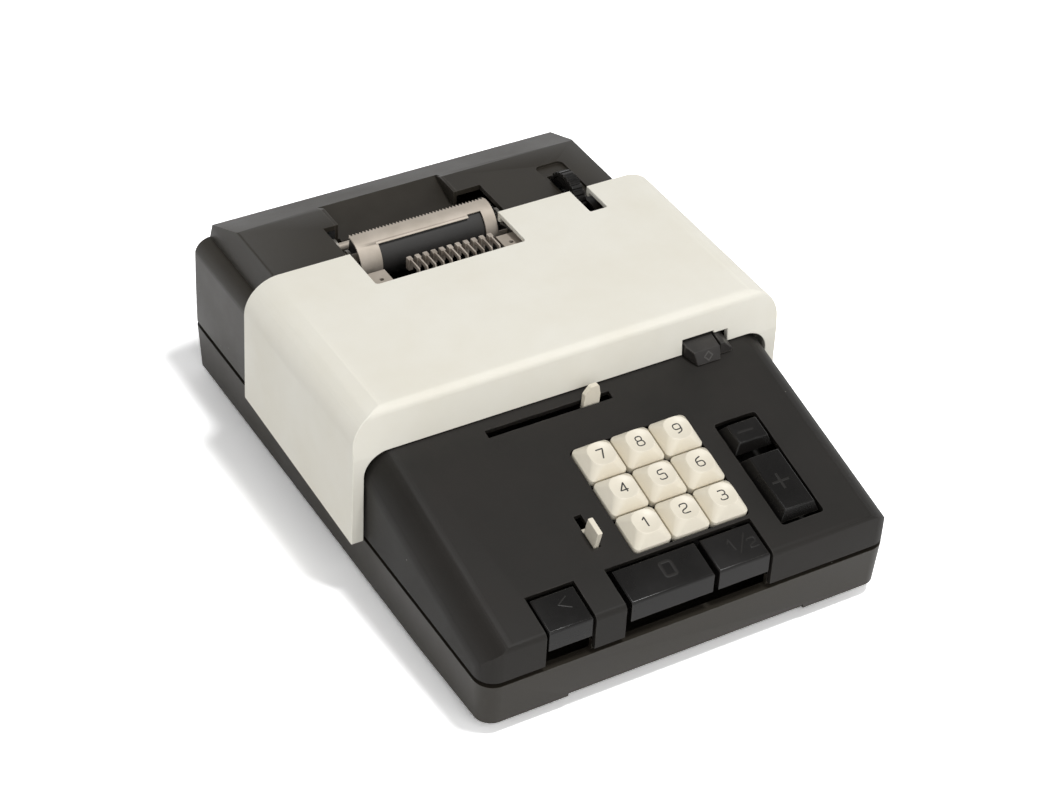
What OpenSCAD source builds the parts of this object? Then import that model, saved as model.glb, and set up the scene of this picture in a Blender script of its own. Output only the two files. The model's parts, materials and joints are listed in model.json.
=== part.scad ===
// Electric ten-key printing adding machine, standing on four rubber feet.
// Origin: centre of the footprint on the table. +Z is up and the keyboard faces -Y.
// Distances called "from the front" run back from the front face at the parting line.

/* [Body] */
// Width of the base and of the black housings at the parting line
body_w = 200; // [190:1:230]
// Depth of the machine, front to back
body_d = 280; // [275:1:310]
// Wall of the base and of the black housings
wall = 2.5; // [2:0.1:3]
// Radius of the upright corners at the front
corner_r = 9; // [7:0.5:14]
// Radius of the upright corners at the back
back_corner_r = 5; // [5:0.5:9]
// Height of the base pan without its feet
base_h = 23.6; // [22:0.1:30]
// How far the base pan's sides lean in towards the bottom
base_draft = 1.5; // [0.5:0.1:3]
// Length over which the base pan's bottom rises towards the front
toe_d = 56; // [40:1:60]
// How far the base pan's bottom rises at the front
toe_rise = 2.5; // [1:0.1:4]
// Width of the finger recess in the lower front edge
recess_w = 117; // [80:1:150]
// Height of the finger recess in the lower front edge
recess_h = 2.5; // [1:0.1:4]
// Depth of the finger recess in the lower front edge
recess_d = 14; // [8:0.5:18]
// Shadow gap between the base pan and the housings
shadow_gap = 2.4; // [1:0.1:3]
// Height of the base pan's inner rim above the shadow gap
rim_h = 3; // [2:0.1:4]
// Thickness of the base pan's inner rim
rim_t = 1.8; // [1.2:0.1:2.5]
// Play between the rim and the housings
rim_clear = 0.3; // [0.2:0.05:0.5]

/* [Feet and screws] */
// Height of the rubber feet
foot_h = 4; // [3:0.5:6]
// Radius of the rubber feet
foot_r = 9; // [6:0.5:11]
// Distance of the feet from the sides
foot_in = 22; // [18:1:30]
// Distance of the rear feet from the back
foot_back = 28; // [20:1:40]
// Distance of the front feet from the rising part of the bottom
foot_gap = 2; // [1:0.5:6]
// Radius of the screw pillars
pillar_r = 5; // [4:0.5:6]
// Distance of the screw pillars from the sides
pillar_in = 14; // [12:1:18]
// Distance of the front and rear pillars from the front and back
pillar_end = 26; // [22:1:32]
// Radius of the screw shanks
screw_r = 1.75; // [1.5:0.05:2]
// Radius of the screw heads
screw_head_r = 3.2; // [2.8:0.1:3.6]
// Height of the screw heads
screw_head_h = 2.4; // [1.8:0.1:3]
// Depth of the screw seats in the bottom
screw_sink = 6; // [4:0.5:8]
// How far the screws reach into the housings
screw_up = 10; // [8:0.5:14]

/* [Deck] */
// Slope of the keyboard deck in degrees
deck_slope = 14.2; // [12:0.2:15.4]
// Height of the front face above the shadow gap
front_h = 17; // [15:0.5:20]
// Depth of the front housing, which ends under the saddle cover
deck_d = 152; // [146:1:158]
// Radius of the deck's long side edges
deck_edge_r = 14; // [11:0.5:16]
// Radius of the deck's front edge
front_edge_r = 3; // [2:0.25:4]

/* [Rear housing] */
// Height of the shoulder above the shadow gap
shoulder_h = 44; // [40:0.5:48]
// Radius of the shoulder's outer edge
shoulder_r = 7.8; // [4:0.1:9]
// How far the rear housing's sides lean in towards the shoulder
side_draft = 1.5; // [0.5:0.1:3]
// Width of the raised top at its foot
hump_w = 182; // [170:1:184]
// How far the raised top's sides lean in towards its top
hump_lean = 3; // [1:0.1:5]
// Height of the raised top above the shoulder
hump_h = 16; // [14:0.5:19]
// Radius of the raised top's side edges
hump_edge_r = 1.2; // [0.6:0.1:4]
// Depth of the bevel at the back of the raised top
bevel_d = 24; // [20:0.5:28]
// Drop of the bevel at the back
bevel_drop = 9.8; // [6:0.2:13]
// How far the back wall leans in towards the bevel
back_lean = 2; // [1:0.1:4]
// Seam between the front and rear housings, hidden under the cover
seam = 0.4; // [0.2:0.05:1]
// Height of the ventilation slots in the back
vent_h = 20; // [12:0.5:24]
// Number of ventilation slots in the back
vent_n = 12; // [6:1:12]
// Width of a ventilation slot in the back
vent_w = 3.5; // [2:0.1:5]
// Spacing of the ventilation slots in the back
vent_pitch = 9; // [7:0.1:9]
// Distance of the first ventilation slot from the side
vent_in = 17; // [15:0.5:24]
// Length of a ventilation slot in the bottom
floor_vent_l = 34; // [20:1:50]
// Distance of the bottom slots in front of the rear feet
floor_vent_gap = 26; // [20:1:40]

/* [Saddle cover] */
// Distance of the cover's front face from the front
cover_front = 103.6; // [102:0.2:106]
// Depth of the cover
cover_d = 106.1; // [104:0.1:108]
// How far the cover stands out from the body at each side
cover_proud = 7.1; // [6:0.1:8]
// How far the cover stands above the rear housing's top
cover_rise = 5.9; // [5:0.1:8]
// How far the cover's sides lean in towards the top
cover_draft = 1.4; // [0.6:0.1:2]
// Radius of the cover's upper side edges
arch_r = 17; // [12:0.5:20]
// Wall of the cover
cover_wall = 2.5; // [2:0.1:3]
// Wall of the cover's front
cover_front_wall = 3; // [2.5:0.1:3.5]
// How far the cover's front face leans back towards its top
cover_lean = 2.1; // [1:0.1:4]
// Radius of the cover's top front edge
cover_edge_r = 4.5; // [2:0.25:6]
// Height of the cover's lower edge above the base at its front
skirt_front = 0.6; // [0.5:0.1:3]
// Height of the cover's lower edge above the base at its back
skirt_rear = 6; // [3:0.5:9]
// Play between the cover and what passes through it
cover_clear = 0.8; // [0.5:0.1:1.2]
// Radius of the cover's opening at the deck's side edges
opening_r = 11; // [8:0.5:14]
// Depth of the rear lip that turns in to the rear housing
cover_lip = 2; // [1.5:0.1:3]
// Distance of the ribs under the cover from the raised top's sides
rib_in = 14; // [8:0.5:18]

/* [Digit keys] */
// Spacing of the digit keys
key_pitch = 19; // [18.8:0.1:20]
// Width of a digit key's skirt
key_w = 18.3; // [17:0.1:18.5]
// Height of a digit key above the deck
key_h = 6.6; // [5.5:0.1:8]
// Height of a digit key's straight skirt above the deck
key_lip = 1.2; // [0.6:0.1:2]
// Diameter of a digit key's dished top
key_top_d = 12; // [9:0.1:13]
// Depth of the dish
key_dish = 0.8; // [0.4:0.05:1]
// Corner radius of the key skirts
key_corner_r = 2.5; // [1.5:0.1:3.5]
// Across position of the middle column
field_x = 10.7; // [9:0.1:12]
// Bar of deck between the front keys' openings and the digit keys' opening
field_v = 1.65; // [1.2:0.05:4]
// Play round the digit field
field_clear = 0.6; // [0.4:0.1:1]
// Travel of every key
key_travel = 4; // [3:0.1:4.5]
// How far the keys reach below the deck's surface
key_sink = 2; // [1.5:0.1:2.5]
// Radius of the key stems
stem_r = 2.4; // [2:0.1:2.6]
// Length of the key stems below the deck's surface
stem_l = 20; // [19:0.5:22]
// Running clearance of the key stems in the key plate
stem_clear = 0.08; // [0.05:0.01:0.1]
// Depth of the key plate below the deck's surface
plate_drop = 14.5; // [13.5:0.1:15.5]
// Thickness of the key plate
plate_t = 1.5; // [1.2:0.1:2]
// Distance of the key plate from the body's sides
plate_in = 26; // [24:0.5:30]
// Distance of the key plate's front edge from the deck's front edge
plate_v0 = 6; // [4:0.5:6]
// How far the key plate reaches behind the digit keys
plate_back = 3; // [2:0.5:4]
// Border of the key plate round its opening and to its screws
plate_border = 12; // [11:0.5:16]
// Radius of the bosses that carry the key plate
boss_r = 3.5; // [3:0.1:3.7]
// Radius of the key plate's screws
boss_pin_r = 1.4; // [1.2:0.1:1.8]
// Radius of the heads of the key plate's screws
boss_head_r = 2.8; // [2.4:0.1:3.2]

/* [Front keys] */
// Left edge of the zero key
zero_x = -31.2; // [-32:0.1:-30]
// Width of the zero key
zero_w = 40; // [38:0.2:41]
// Gap between the zero key and the half key
front_key_gap = 2.6; // [1.5:0.1:3]
// Width of the half key
half_w = 25; // [23:0.2:26]
// Left edge of the correction key
correction_x = -70.2; // [-72:0.1:-69]
// Width of the correction key
correction_w = 20.6; // [19:0.2:21]
// Depth of the front keys up the slope
front_key_d = 17.8; // [16:0.1:18]
// Height of the front keys' front faces
front_key_h = 9.6; // [7:0.1:10]
// Rounding of the front keys' edges
front_key_r = 1.5; // [0.8:0.1:2]
// Play at the sides of the front keys
front_clear = 1.3; // [0.8:0.1:1.6]
// Play behind the front keys
front_clear_back = 2; // [1.2:0.1:2.4]
// How far the front keys stand back from the front face
front_set = 0.4; // [0.3:0.1:0.8]
// Distance of the zero key's stems from its ends
zero_stem_in = 9; // [6:0.5:12]

/* [Motor keys] */
// Bar of deck between the digit keys' opening and the well of the plus and minus keys
well_x = 9.65; // [8.6:0.05:12]
// Width of the well
well_w = 21.4; // [20:0.2:24]
// Front end of the well up the slope
well_v = 11; // [10:0.1:14]
// Length of the plus key's top
plus_l = 29.5; // [26:0.2:32]
// Length of the minus key's top
minus_l = 10.4; // [9:0.2:12]
// Width of both keys' tops
motor_key_w = 14.5; // [12:0.2:16]
// Height of both keys above the deck
motor_key_h = 3.5; // [2:0.1:5]
// Flare of both keys' sides down to their skirts
motor_key_flare = 2.4; // [1:0.1:2.8]
// Gap between the two keys' skirts
motor_key_gap = 3.6; // [2:0.1:5]
// Play at the ends of the well
well_clear = 2.3; // [1.2:0.1:3]
// Rounding of both keys' top edges
motor_key_r = 0.8; // [0.4:0.1:1.2]
// Distance of the plus key's stems from its ends
plus_stem_in = 5; // [3:0.5:8]

/* [Total key] */
// Left edge of the total key
total_x = 56.4; // [55:0.1:60]
// Width of the total key
total_w = 15; // [12:0.2:16]
// How far the total key's left side runs in towards its face
total_taper = 3; // [1:0.1:4]
// How far the total key's face slopes back
total_rake = 3.4; // [2:0.1:5]
// Width of the lower ear beside the total key
total_ear_w = 6.5; // [4:0.1:7]
// How far the ear stands back from the total key's face
total_ear_set = 2.5; // [1:0.1:4]
// Height of the ear's outer side
total_ear_h = 2.2; // [1.5:0.1:4]
// Groove between the total key and its ear
total_groove = 0.9; // [0.6:0.1:1.5]
// How far the total key stands out of the cover
total_out = 7.4; // [5:0.1:9]
// Height of the total key above the deck
total_h = 6.2; // [5:0.1:7]
// How far the total key is pushed back
total_travel = 4; // [2:0.1:5]
// Play round the total key
total_clear = 0.6; // [0.4:0.1:1]
// Play above the total key
total_gap = 1.8; // [0.6:0.1:2.4]
// Play under the total key
total_lift = 0.5; // [0.3:0.1:0.8]
// Distance of the total key's stem behind the cover's front
total_stem_in = 9; // [8:0.5:12]
// Thickness of the total key's stem
total_stem_t = 4; // [3:0.1:5]
// Width of the total key's stem
total_stem_w = 6; // [4:0.1:8]

/* [Levers] */
// Left end of the column pointer's slot
slot_x0 = -46.3; // [-48:0.1:-44]
// Right end of the column pointer's slot
slot_x1 = 15; // [14:0.1:17]
// Distance of the column pointer's slot from the cover down the slope, to its front edge
slot_v = 9.07; // [7:0.01:11]
// Width of the column pointer's slot
slot_w = 4.1; // [3.5:0.1:4.4]
// Left edge of the column pointer
pointer_x = 0.6; // [-2:0.1:3]
// Width of the column pointer
pointer_w = 9; // [7:0.1:10]
// Height of the column pointer above the deck
pointer_h = 8.4; // [6:0.1:10]
// Thickness of the column pointer and the repeat lever
lever_t = 2.4; // [1.8:0.1:2.8]
// Across position of the repeat lever
repeat_x = -30.85; // [-32:0.05:-30]
// Width of the repeat lever's slot
repeat_slot_w = 3.7; // [3.3:0.1:4.5]
// Front end of the repeat lever's slot, behind the front of the digit keys' opening
repeat_v = 9.05; // [7:0.05:11]
// Length of the repeat lever's slot
repeat_slot_l = 17.7; // [16:0.1:20]
// Length of the repeat lever
repeat_l = 9; // [7:0.1:10]
// Height of the repeat lever above the deck
repeat_h = 9.6; // [7:0.1:11]
// Thickness of the foot that holds the repeat lever under the deck
repeat_foot_t = 2; // [1.5:0.1:3]
// Reach of that foot past the repeat lever
repeat_foot_out = 3; // [2:0.1:4]

/* [Pin carriage] */
// Width of the box of stop pins
carriage_w = 46; // [40:1:50]
// Depth of the box of stop pins
carriage_d = 22; // [20:0.5:24]
// Height of the box of stop pins
carriage_h = 15; // [12:0.5:16]
// Height of the box of stop pins above the base pan's floor
carriage_up = 14; // [10:0.5:16]
// Number of stop pins
pin_n = 10; // [8:1:11]
// Spacing of the stop pins
pin_pitch = 4; // [3:0.1:4.2]
// Radius of the stop pins
pin_r = 0.8; // [0.6:0.1:1.2]
// Radius of the carriage's rails
rail_r = 2; // [1.5:0.1:2.5]
// Spacing of the carriage's rails
rail_gap = 16; // [12:0.5:16]
// Height of the rails above the carriage's underside
rail_up = 5; // [4:0.5:8]
// Length of the rails past the carriage's travel
rail_over = 8; // [6:0.5:12]
// Thickness of the rails' brackets
bracket_t = 2; // [1.5:0.1:3]

/* [Printer] */
// Across position of the platen's middle
print_x = -12; // [-13:0.1:-11]
// Distance of the platen's axis behind the cover
platen_y = 9.8; // [9:0.1:12]
// Depth of the platen's axis below the rear housing's top
platen_drop = 5.5; // [5:0.1:6]
// Radius of the platen
platen_r = 10.5; // [9:0.1:10.8]
// Length of the platen
platen_l = 64; // [58:0.5:65]
// Radius of the platen's shaft
shaft_r = 2.5; // [2:0.1:2.7]
// Running clearance of shafts in their bearings
run_clear = 0.06; // [0.02:0.01:0.1]
// Radius of the thumbwheel
wheel_r = 13; // [12:0.1:13.5]
// Width of the thumbwheel
wheel_w = 5.5; // [4:0.1:6]
// Across position of the thumbwheel's middle
wheel_x = 65; // [64:0.1:66]
// Number of ribs on the thumbwheel
wheel_ribs = 26; // [16:1:36]
// Gap between the platen and the tear bar
tear_gap = 0.7; // [0.4:0.1:0.9]
// Thickness of the tear bar's sheet
tear_t = 0.7; // [0.5:0.1:0.8]
// Reach of the tear bar past the platen's left end
tear_left = 4.7; // [3:0.1:5]
// Reach of the tear bar past the platen's right end
tear_right = 1; // [0.6:0.1:3]
// Width of the tear bar's left band
tear_band_l = 10.6; // [6:0.1:12]
// Width of the tear bar's right band
tear_band_r = 6; // [4:0.1:8]
// Spacing of the tear bar's teeth
tear_pitch = 1.4; // [1.2:0.1:2.4]
// Depth of the tear bar's teeth
tear_tooth = 1.1; // [0.6:0.1:1.6]
// Width of the higher right end of the tear bar's window
tear_step = 7; // [3:0.1:9]
// Angle of the tear bar's toothed edge, counted from the back over the top in degrees
tear_start = 78; // [74:1:84]
// Angle of the upper edge of the tear bar's window in degrees
tear_window = 122; // [116:1:128]
// Angle of that edge at its higher right end in degrees
tear_window_step = 115; // [110:1:120]
// Angle where the straps to the frames begin in degrees
tear_strap = 172; // [165:1:178]
// Angle of the tear bar's lower edge in degrees
tear_finish = 190; // [184:1:196]
// Radius of the pressure roller
press_r = 5; // [4:0.1:5.5]
// Play between the tear bar's left end and the cover's printer notch
notch_left = 5.1; // [4:0.1:7]
// Play between the tear bar's right end and the cover's printer notch
notch_right = 0.5; // [0.4:0.1:3]
// Depth of the cover's printer notch
notch_d = 25.7; // [24:0.1:28]
// Corner radius of the cover's notches
notch_r = 1.5; // [0.5:0.1:3]
// Depth of the cover's slot for the thumbwheel
wheel_slot_d = 18.7; // [16:0.1:21]
// Play at the left of the thumbwheel
wheel_clear_l = 2.7; // [1:0.1:3]
// Play at the right of the thumbwheel
wheel_clear_r = 0.8; // [0.5:0.1:1.5]
// Depth of the dished finger place round the thumbwheel
finger_drop = 1.2; // [0.6:0.1:2]
// Reach of the finger place to the left of the thumbwheel's slot
finger_left = 2.4; // [1:0.1:4]
// Reach of the finger place to the right of the thumbwheel's slot
finger_right = 5; // [2:0.1:7]
// Reach of the finger place behind the thumbwheel
finger_back = 9; // [6:0.5:12]
// Number of type bars
type_n = 11; // [9:1:12]
// Spacing of the type bars
type_pitch = 4.1; // [3.6:0.1:4.3]
// Thickness of a type bar
type_t = 2.2; // [1.6:0.1:2.6]
// Across position of the row of type bars, from the platen's middle
type_shift = 4; // [3:0.1:5]
// Radius of the type bars' shaft
type_shaft_r = 2.5; // [2:0.1:3]
// Distance of the type bars' shaft in front of the platen's axis
type_fore = 41.5; // [40:0.1:44]
// Depth of the type bars' shaft below the platen's axis
type_drop = 29.5; // [28:0.1:31]
// Radius of the type bars' hubs
type_hub_r = 5; // [4:0.1:6]
// Distance of the type heads behind the shaft
head_back = 24; // [22:0.1:25]
// Height of the type heads' tops above the shaft
head_up = 36.5; // [34:0.1:38]
// Height of a type head
head_h = 6; // [4:0.1:8]
// Thickness of a type head
head_t = 2.4; // [1.6:0.1:3]
// Length of the arm that carries a type head
arm_l = 10.5; // [8:0.1:11]
// Thickness of the arm that carries a type head
arm_t = 2; // [1.4:0.1:2.6]
// Width of a type bar's leg
leg_w = 4; // [3:0.1:5]
// Distance of the left frame from the platen
frame_left_in = 4.9; // [4.9:0.1:6]
// Distance of the right frame from the platen
frame_right_in = 6; // [5.5:0.1:8]
// Thickness of the steel frames
frame_t = 1.5; // [1.2:0.1:2]
// Reach of the frames in front of the platen's axis
frame_fore = 92; // [88:1:98]
// Reach of the frames behind the platen's axis
frame_aft = 21; // [18:0.5:24]
// Radius of the frames' ears round the platen's shaft
ear_r = 5; // [4.5:0.1:6.5]
// Play between the frames and the printer's well
frame_clear = 1.6; // [1:0.1:2.5]
// Thickness of the printer plate
lug_t = 1.2; // [1:0.1:2]
// Width of the printer plate's left lug
lug_left_w = 9.6; // [8:0.1:12]
// Width of the printer plate's right lug
lug_right_w = 13.6; // [10:0.1:13.8]
// Width of the strip that joins the two lugs
strip_w = 6; // [4:0.1:6.4]
// Distance of the lugs' screw holes from the platen's axis
lug_hole_fore = 26.3; // [24:0.1:28]
// Distance of the lugs' screw holes from the lugs' inner edges
lug_hole_in = 4.6; // [3:0.1:6]
// Radius of the lugs' screw holes
lug_hole_r = 1; // [0.8:0.1:1.4]
// Play between the printer plate and the tear bar
lug_clear = 8; // [6:0.5:9]
// Radius of the tie rods and of the paper guide rod
tie_r = 2; // [1.5:0.1:2.4]
// Gap between the platen and the paper guide rod
guide_gap = 1.1; // [0.6:0.1:2]
// Depth of the paper guide rod below the platen's axis
guide_drop = 1.9; // [1:0.1:4]
// Gap between the pressure roller and the platen
press_gap = 0.3; // [0.3:0.05:0.6]
// Angle of the pressure roller under the platen in degrees
press_angle = -62; // [-75:1:-55]
// Width of the paper table, from cheek to cheek outside
table_w = 63; // [60:0.5:64]
// Across position of the paper table, from the platen's middle
table_shift = -2.5; // [-3:0.1:-2]
// Thickness of the paper table
table_t = 1.6; // [1.2:0.1:2]
// Slope of the paper table in degrees
table_slope = 17; // [14:0.5:20]
// Depth of the paper table's front edge below the raised top
table_end = 8.45; // [7:0.05:10]
// Play in front of the paper table
table_clear = 0.5; // [0.4:0.1:1.5]
// Distance of the well's rear wall behind the platen's axis
well_back = 20.5; // [19:0.5:23]

/* [Drive] */
// Radius of the motor
motor_r = 22; // [18:0.5:23]
// Length of the motor
motor_l = 42; // [36:1:44]
// Distance of the motor's axis in front of the platen's axis
motor_y = 4.5; // [0:0.5:8]
// Height of the drive gear above the base pan's floor
motor_h = 2.7; // [2:0.1:5]
// Tooth size of the drive, as pitch diameter per tooth
gear_mod = 1; // [0.9:0.05:1]
// Teeth of the motor pinion
pinion_n = 12; // [10:1:14]
// Teeth of the drive gear
gear_n = 52; // [44:1:54]
// Width of the gears
gear_w = 5; // [4:0.5:6]
// Play between the gears in mesh
mesh_play = 0.15; // [0.1:0.05:0.3]
// Gap between the right frame and the gears
gear_gap = 1.8; // [1.2:0.1:2.4]
// Gap between the gears and the motor
motor_gap = 1.5; // [1.2:0.1:2.4]
// Radius of the main shaft
main_r = 4; // [3:0.1:5]
// Radius of the motor's shaft
motor_shaft_r = 2; // [1.5:0.1:3]
// Radius of the main shaft's cams
cam_r = 6.5; // [5:0.1:8]
// Throw of the main shaft's cams to each side
cam_throw = 2; // [1:0.1:3]
// Width of the main shaft's cams
cam_w = 3; // [2:0.1:4]
// Radius of the accumulator's wheels
acc_r = 9; // [7:0.1:10]
// Radius of the accumulator's shaft
acc_shaft_r = 3; // [2:0.1:4]
// Distance of the accumulator's shaft in front of the main shaft
acc_fore = 30; // [28:0.5:34]
// Height of the accumulator's shaft above the main shaft
acc_up = 10; // [8:0.5:14]

/* [Mains inlet] */
// Across position of the mains inlet
inlet_x = 52; // [40:1:60]
// Height of the mains inlet's middle above the shadow gap
inlet_h = 20; // [18:0.5:24]
// Width of the mains inlet's opening
inlet_w = 24; // [20:0.5:28]
// Height of the mains inlet's opening
inlet_open_h = 14; // [10:0.5:16]
// Depth of the mains inlet's socket
inlet_d = 14; // [12:0.5:15]
// Thickness of the socket's inner end
inlet_flange = 2; // [1.5:0.1:3]
// Wall of the socket
inlet_wall = 1.8; // [1.2:0.1:2.4]
// Radius of the socket's pins
inlet_pin_r = 1.6; // [1.2:0.1:2]

/* [Hidden] */
$fn = 64;

half_body = body_w / 2;
front_y = -body_d / 2;
rear_y = body_d / 2;
base_z = foot_h;
base_top = base_z + base_h;
housing_z = base_top + shadow_gap;
deck_z = housing_z + front_h;
shoulder_z = housing_z + shoulder_h;
hump_z = shoulder_z + hump_h;
cover_z = hump_z + cover_rise;
seam_y = front_y + deck_d;
cover_y0 = front_y + cover_front;
cover_y1 = cover_y0 + cover_d;
cover_v = cover_front / cos(deck_slope);
bevel_y = rear_y - back_lean - bevel_d;
bevel_fall = bevel_drop / bevel_d;

rim_in = wall + rim_clear;
base_wall = rim_in + rim_t / 2;
floor_z = base_z + base_wall;
pillar_x = half_body - pillar_in;
front_pillars = [for (x = [-pillar_x, pillar_x], y = [front_y + pillar_end, seam_y - pillar_r * 2]) [x, y]];
rear_pillars = [for (x = [-pillar_x, pillar_x]) [x, rear_y - pillar_end]];
pillar_bore = screw_r + run_clear;
screw_seat = base_z + screw_sink;
foot_x = half_body - foot_in;
foot_front_y = front_y + toe_d + foot_r + foot_gap;
foot_rear_y = rear_y - foot_back;

field_half = key_pitch + key_w / 2 + field_clear;
front_cut_v = front_key_d + front_clear_back;
field_v0 = front_cut_v + field_v;
field_mid_v = field_v0 + field_half;
half_x = zero_x + zero_w + front_key_gap;
front_cuts = [[correction_x - front_clear, correction_x + correction_w + front_clear],
    [zero_x - 2 * front_clear, half_x + half_w + front_clear]];
well_mid = field_x + field_half + well_x + well_w / 2;
well_l = 2 * well_clear + 4 * motor_key_flare + plus_l + minus_l + motor_key_gap;
plus_v = well_v + well_clear + motor_key_flare;
minus_v = plus_v + plus_l + 2 * motor_key_flare + motor_key_gap;
front_stem_v = front_key_d / 2;
stem_bottom = -stem_l;
plate_top = -plate_drop;
field_stems = [for (r = [-1:1], c = [-1:1]) [field_x + c * key_pitch, field_mid_v + r * key_pitch]];
zero_stems = [for (x = [zero_x + zero_stem_in, zero_x + zero_w - zero_stem_in]) [x, front_stem_v]];
half_stems = [[half_x + half_w / 2, front_stem_v]];
correction_stems = [[correction_x + correction_w / 2, front_stem_v]];
plus_stems = [for (v = [plus_v + plus_stem_in, plus_v + plus_l - plus_stem_in]) [well_mid, v]];
minus_stems = [[well_mid, minus_v + minus_l / 2]];
all_stems = concat(field_stems, zero_stems, half_stems, correction_stems, plus_stems, minus_stems);

plate_x = half_body - plate_in;
plate_v1 = field_mid_v + 1.5 * key_pitch + plate_back;
boss_x = plate_x - plate_border / 2;
boss_v0 = front_cut_v + plate_border - boss_r;
boss_v1 = plate_v1 - plate_border / 2;
plate_bosses = [[-boss_x, boss_v0], [-boss_x, boss_v1], [boss_x, boss_v1],
    [field_x + field_half + well_x / 2, boss_v0]];

total_face_v = (cover_front - total_out) / cos(deck_slope);
total_stem_v = cover_v + total_stem_in;
total_back_v = total_stem_v + total_stem_t;
total_ear_x = total_x + total_w + total_groove;

slot_front_v = cover_v - slot_v;
pointer_y = front_y + (slot_front_v + slot_w / 2) * cos(deck_slope);
repeat_front_v = field_v0 + repeat_v;
carriage_x = pointer_x + pointer_w / 2;
carriage_z = floor_z + carriage_up;
rail_z = carriage_z + rail_up;
rail_x0 = slot_x0 - carriage_w / 2 - rail_over;
rail_x1 = slot_x1 + carriage_w / 2 + rail_over;

platen_ay = cover_y1 + platen_y;
platen_az = hump_z - platen_drop;
platen_x0 = print_x - platen_l / 2;
platen_x1 = print_x + platen_l / 2;
tear_in = platen_r + tear_gap;
tear_out = tear_in + tear_t;
tear_x0 = platen_x0 - tear_left;
tear_x1 = platen_x1 + tear_right;
frame_l0 = platen_x0 - frame_left_in - frame_t;
frame_r0 = platen_x1 + frame_right_in;
frame_r1 = frame_r0 + frame_t;
frame_y0 = platen_ay - frame_fore;
frame_y1 = platen_ay + frame_aft;
shaft_end = 1;
plate_seat_z = hump_z - 1;
lug_y0 = cover_y1 - notch_d - 1;
lug_y1 = platen_ay - tear_out - lug_clear;
type_y = platen_ay - type_fore;
type_z = platen_az - type_drop;
type_x0 = print_x + type_shift - (type_n - 1) * type_pitch / 2;
press_reach = platen_r + press_r + press_gap;
press_y = platen_ay + press_reach * cos(press_angle);
press_z = platen_az + press_reach * sin(press_angle);
guide_y = platen_ay + platen_r + guide_gap + tie_r;
guide_z = platen_az - guide_drop;
guide_ear_r = tie_r + 2.5;
tie_y = frame_y1 - 4 * tie_r;
tie_z = floor_z + 6 * tie_r;
table_x = print_x + table_shift;
table_fall = tan(table_slope);
table_y0 = guide_y + guide_ear_r + table_clear;
table_y1 = min(table_y0 + table_end / table_fall,
    (table_end + table_fall * table_y0 + bevel_fall * bevel_y) / (table_fall + bevel_fall));
table_front_z = hump_z - table_end;
table_end_z = table_front_z + (table_y1 - table_y0) * table_fall;
well_y1 = platen_ay + well_back;
well_left = frame_l0 - frame_clear;
well_right = frame_r1 + frame_clear;

pinion_r = gear_mod * pinion_n / 2;
gear_r = gear_mod * gear_n / 2;
tooth_tip = 0.8;
motor_ay = platen_ay - motor_y;
motor_z = floor_z + motor_h + gear_r + tooth_tip * gear_mod;
shaft_y = motor_ay - pinion_r - gear_r - mesh_play;
gear_x = frame_r1 + gear_gap;
motor_x = gear_x + gear_w + motor_gap;
acc_y = shaft_y - acc_fore;
acc_z = motor_z + acc_up;
inlet_z = housing_z + inlet_h;

// Height of the deck's surface at a place along Y
function deck_at(y) = deck_z + (y - front_y) * tan(deck_slope);

// Y of the back wall's outer face at a height
function back_at(z) = rear_y - back_lean * (z - housing_z) / (hump_z - bevel_drop - housing_z);

function unit(v) = v / norm(v);
function corner_angle(p, a, b) = acos(unit(a - p) * unit(b - p));
function tangent_length(p, a, b, r) = r / tan(corner_angle(p, a, b) / 2);
function arc_centre(p, a, b, r) = p + unit(unit(a - p) + unit(b - p)) * r / sin(corner_angle(p, a, b) / 2);

// Convex polygon whose corners are rounded by one radius each
module soft_polygon(points, radii) {
    n = len(points);
    polygon([for (i = [0:n - 1])
        let (p = points[i], a = points[(i + n - 1) % n], b = points[(i + 1) % n],
            t = tangent_length(p, a, b, radii[i]))
        each radii[i] > 0 ? [p + unit(a - p) * t, p + unit(b - p) * t] : [p]]);
    for (i = [0:n - 1])
        if (radii[i] > 0)
            translate(arc_centre(points[i], points[(i + n - 1) % n], points[(i + 1) % n], radii[i]))
                circle(radii[i]);
}

// Rectangle between two corners, all corners rounded
module soft_rect(a, b, r) {
    soft_polygon([a, [b[0], a[1]], b, [a[0], b[1]]], [r, r, r, r]);
}

// Extrusions of a profile drawn in YZ, XZ or XY
module along_x(x0, x1) {
    translate([x0, 0, 0]) rotate([90, 0, 90]) linear_extrude(x1 - x0) children();
}
module along_y(y0, y1) {
    translate([0, y1, 0]) rotate([90, 0, 0]) linear_extrude(y1 - y0) children();
}
module along_z(z0, z1) {
    translate([0, 0, z0]) linear_extrude(z1 - z0) children();
}

// Round bar along X at a place in YZ
module bar_x(x0, x1, y, z, r) {
    translate([x0, y, z]) rotate([0, 90, 0]) cylinder(r = r, h = x1 - x0);
}

// Frame of the deck: x across, y up the slope from the front edge, z out of the surface
module on_deck() {
    translate([0, front_y, deck_z]) rotate([deck_slope, 0, 0]) children();
}

// Gear outline about the origin
module gear_outline(n, mod) {
    root = mod * n / 2 - 1.1 * mod;
    tip = mod * n / 2 + tooth_tip * mod;
    step = 360 / n;
    polygon([for (i = [0:n - 1], k = [[root, -0.3], [tip, -0.12], [tip, 0.12], [root, 0.3]])
        k[0] * [cos((i + k[1]) * step), sin((i + k[1]) * step)]]);
}

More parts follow.
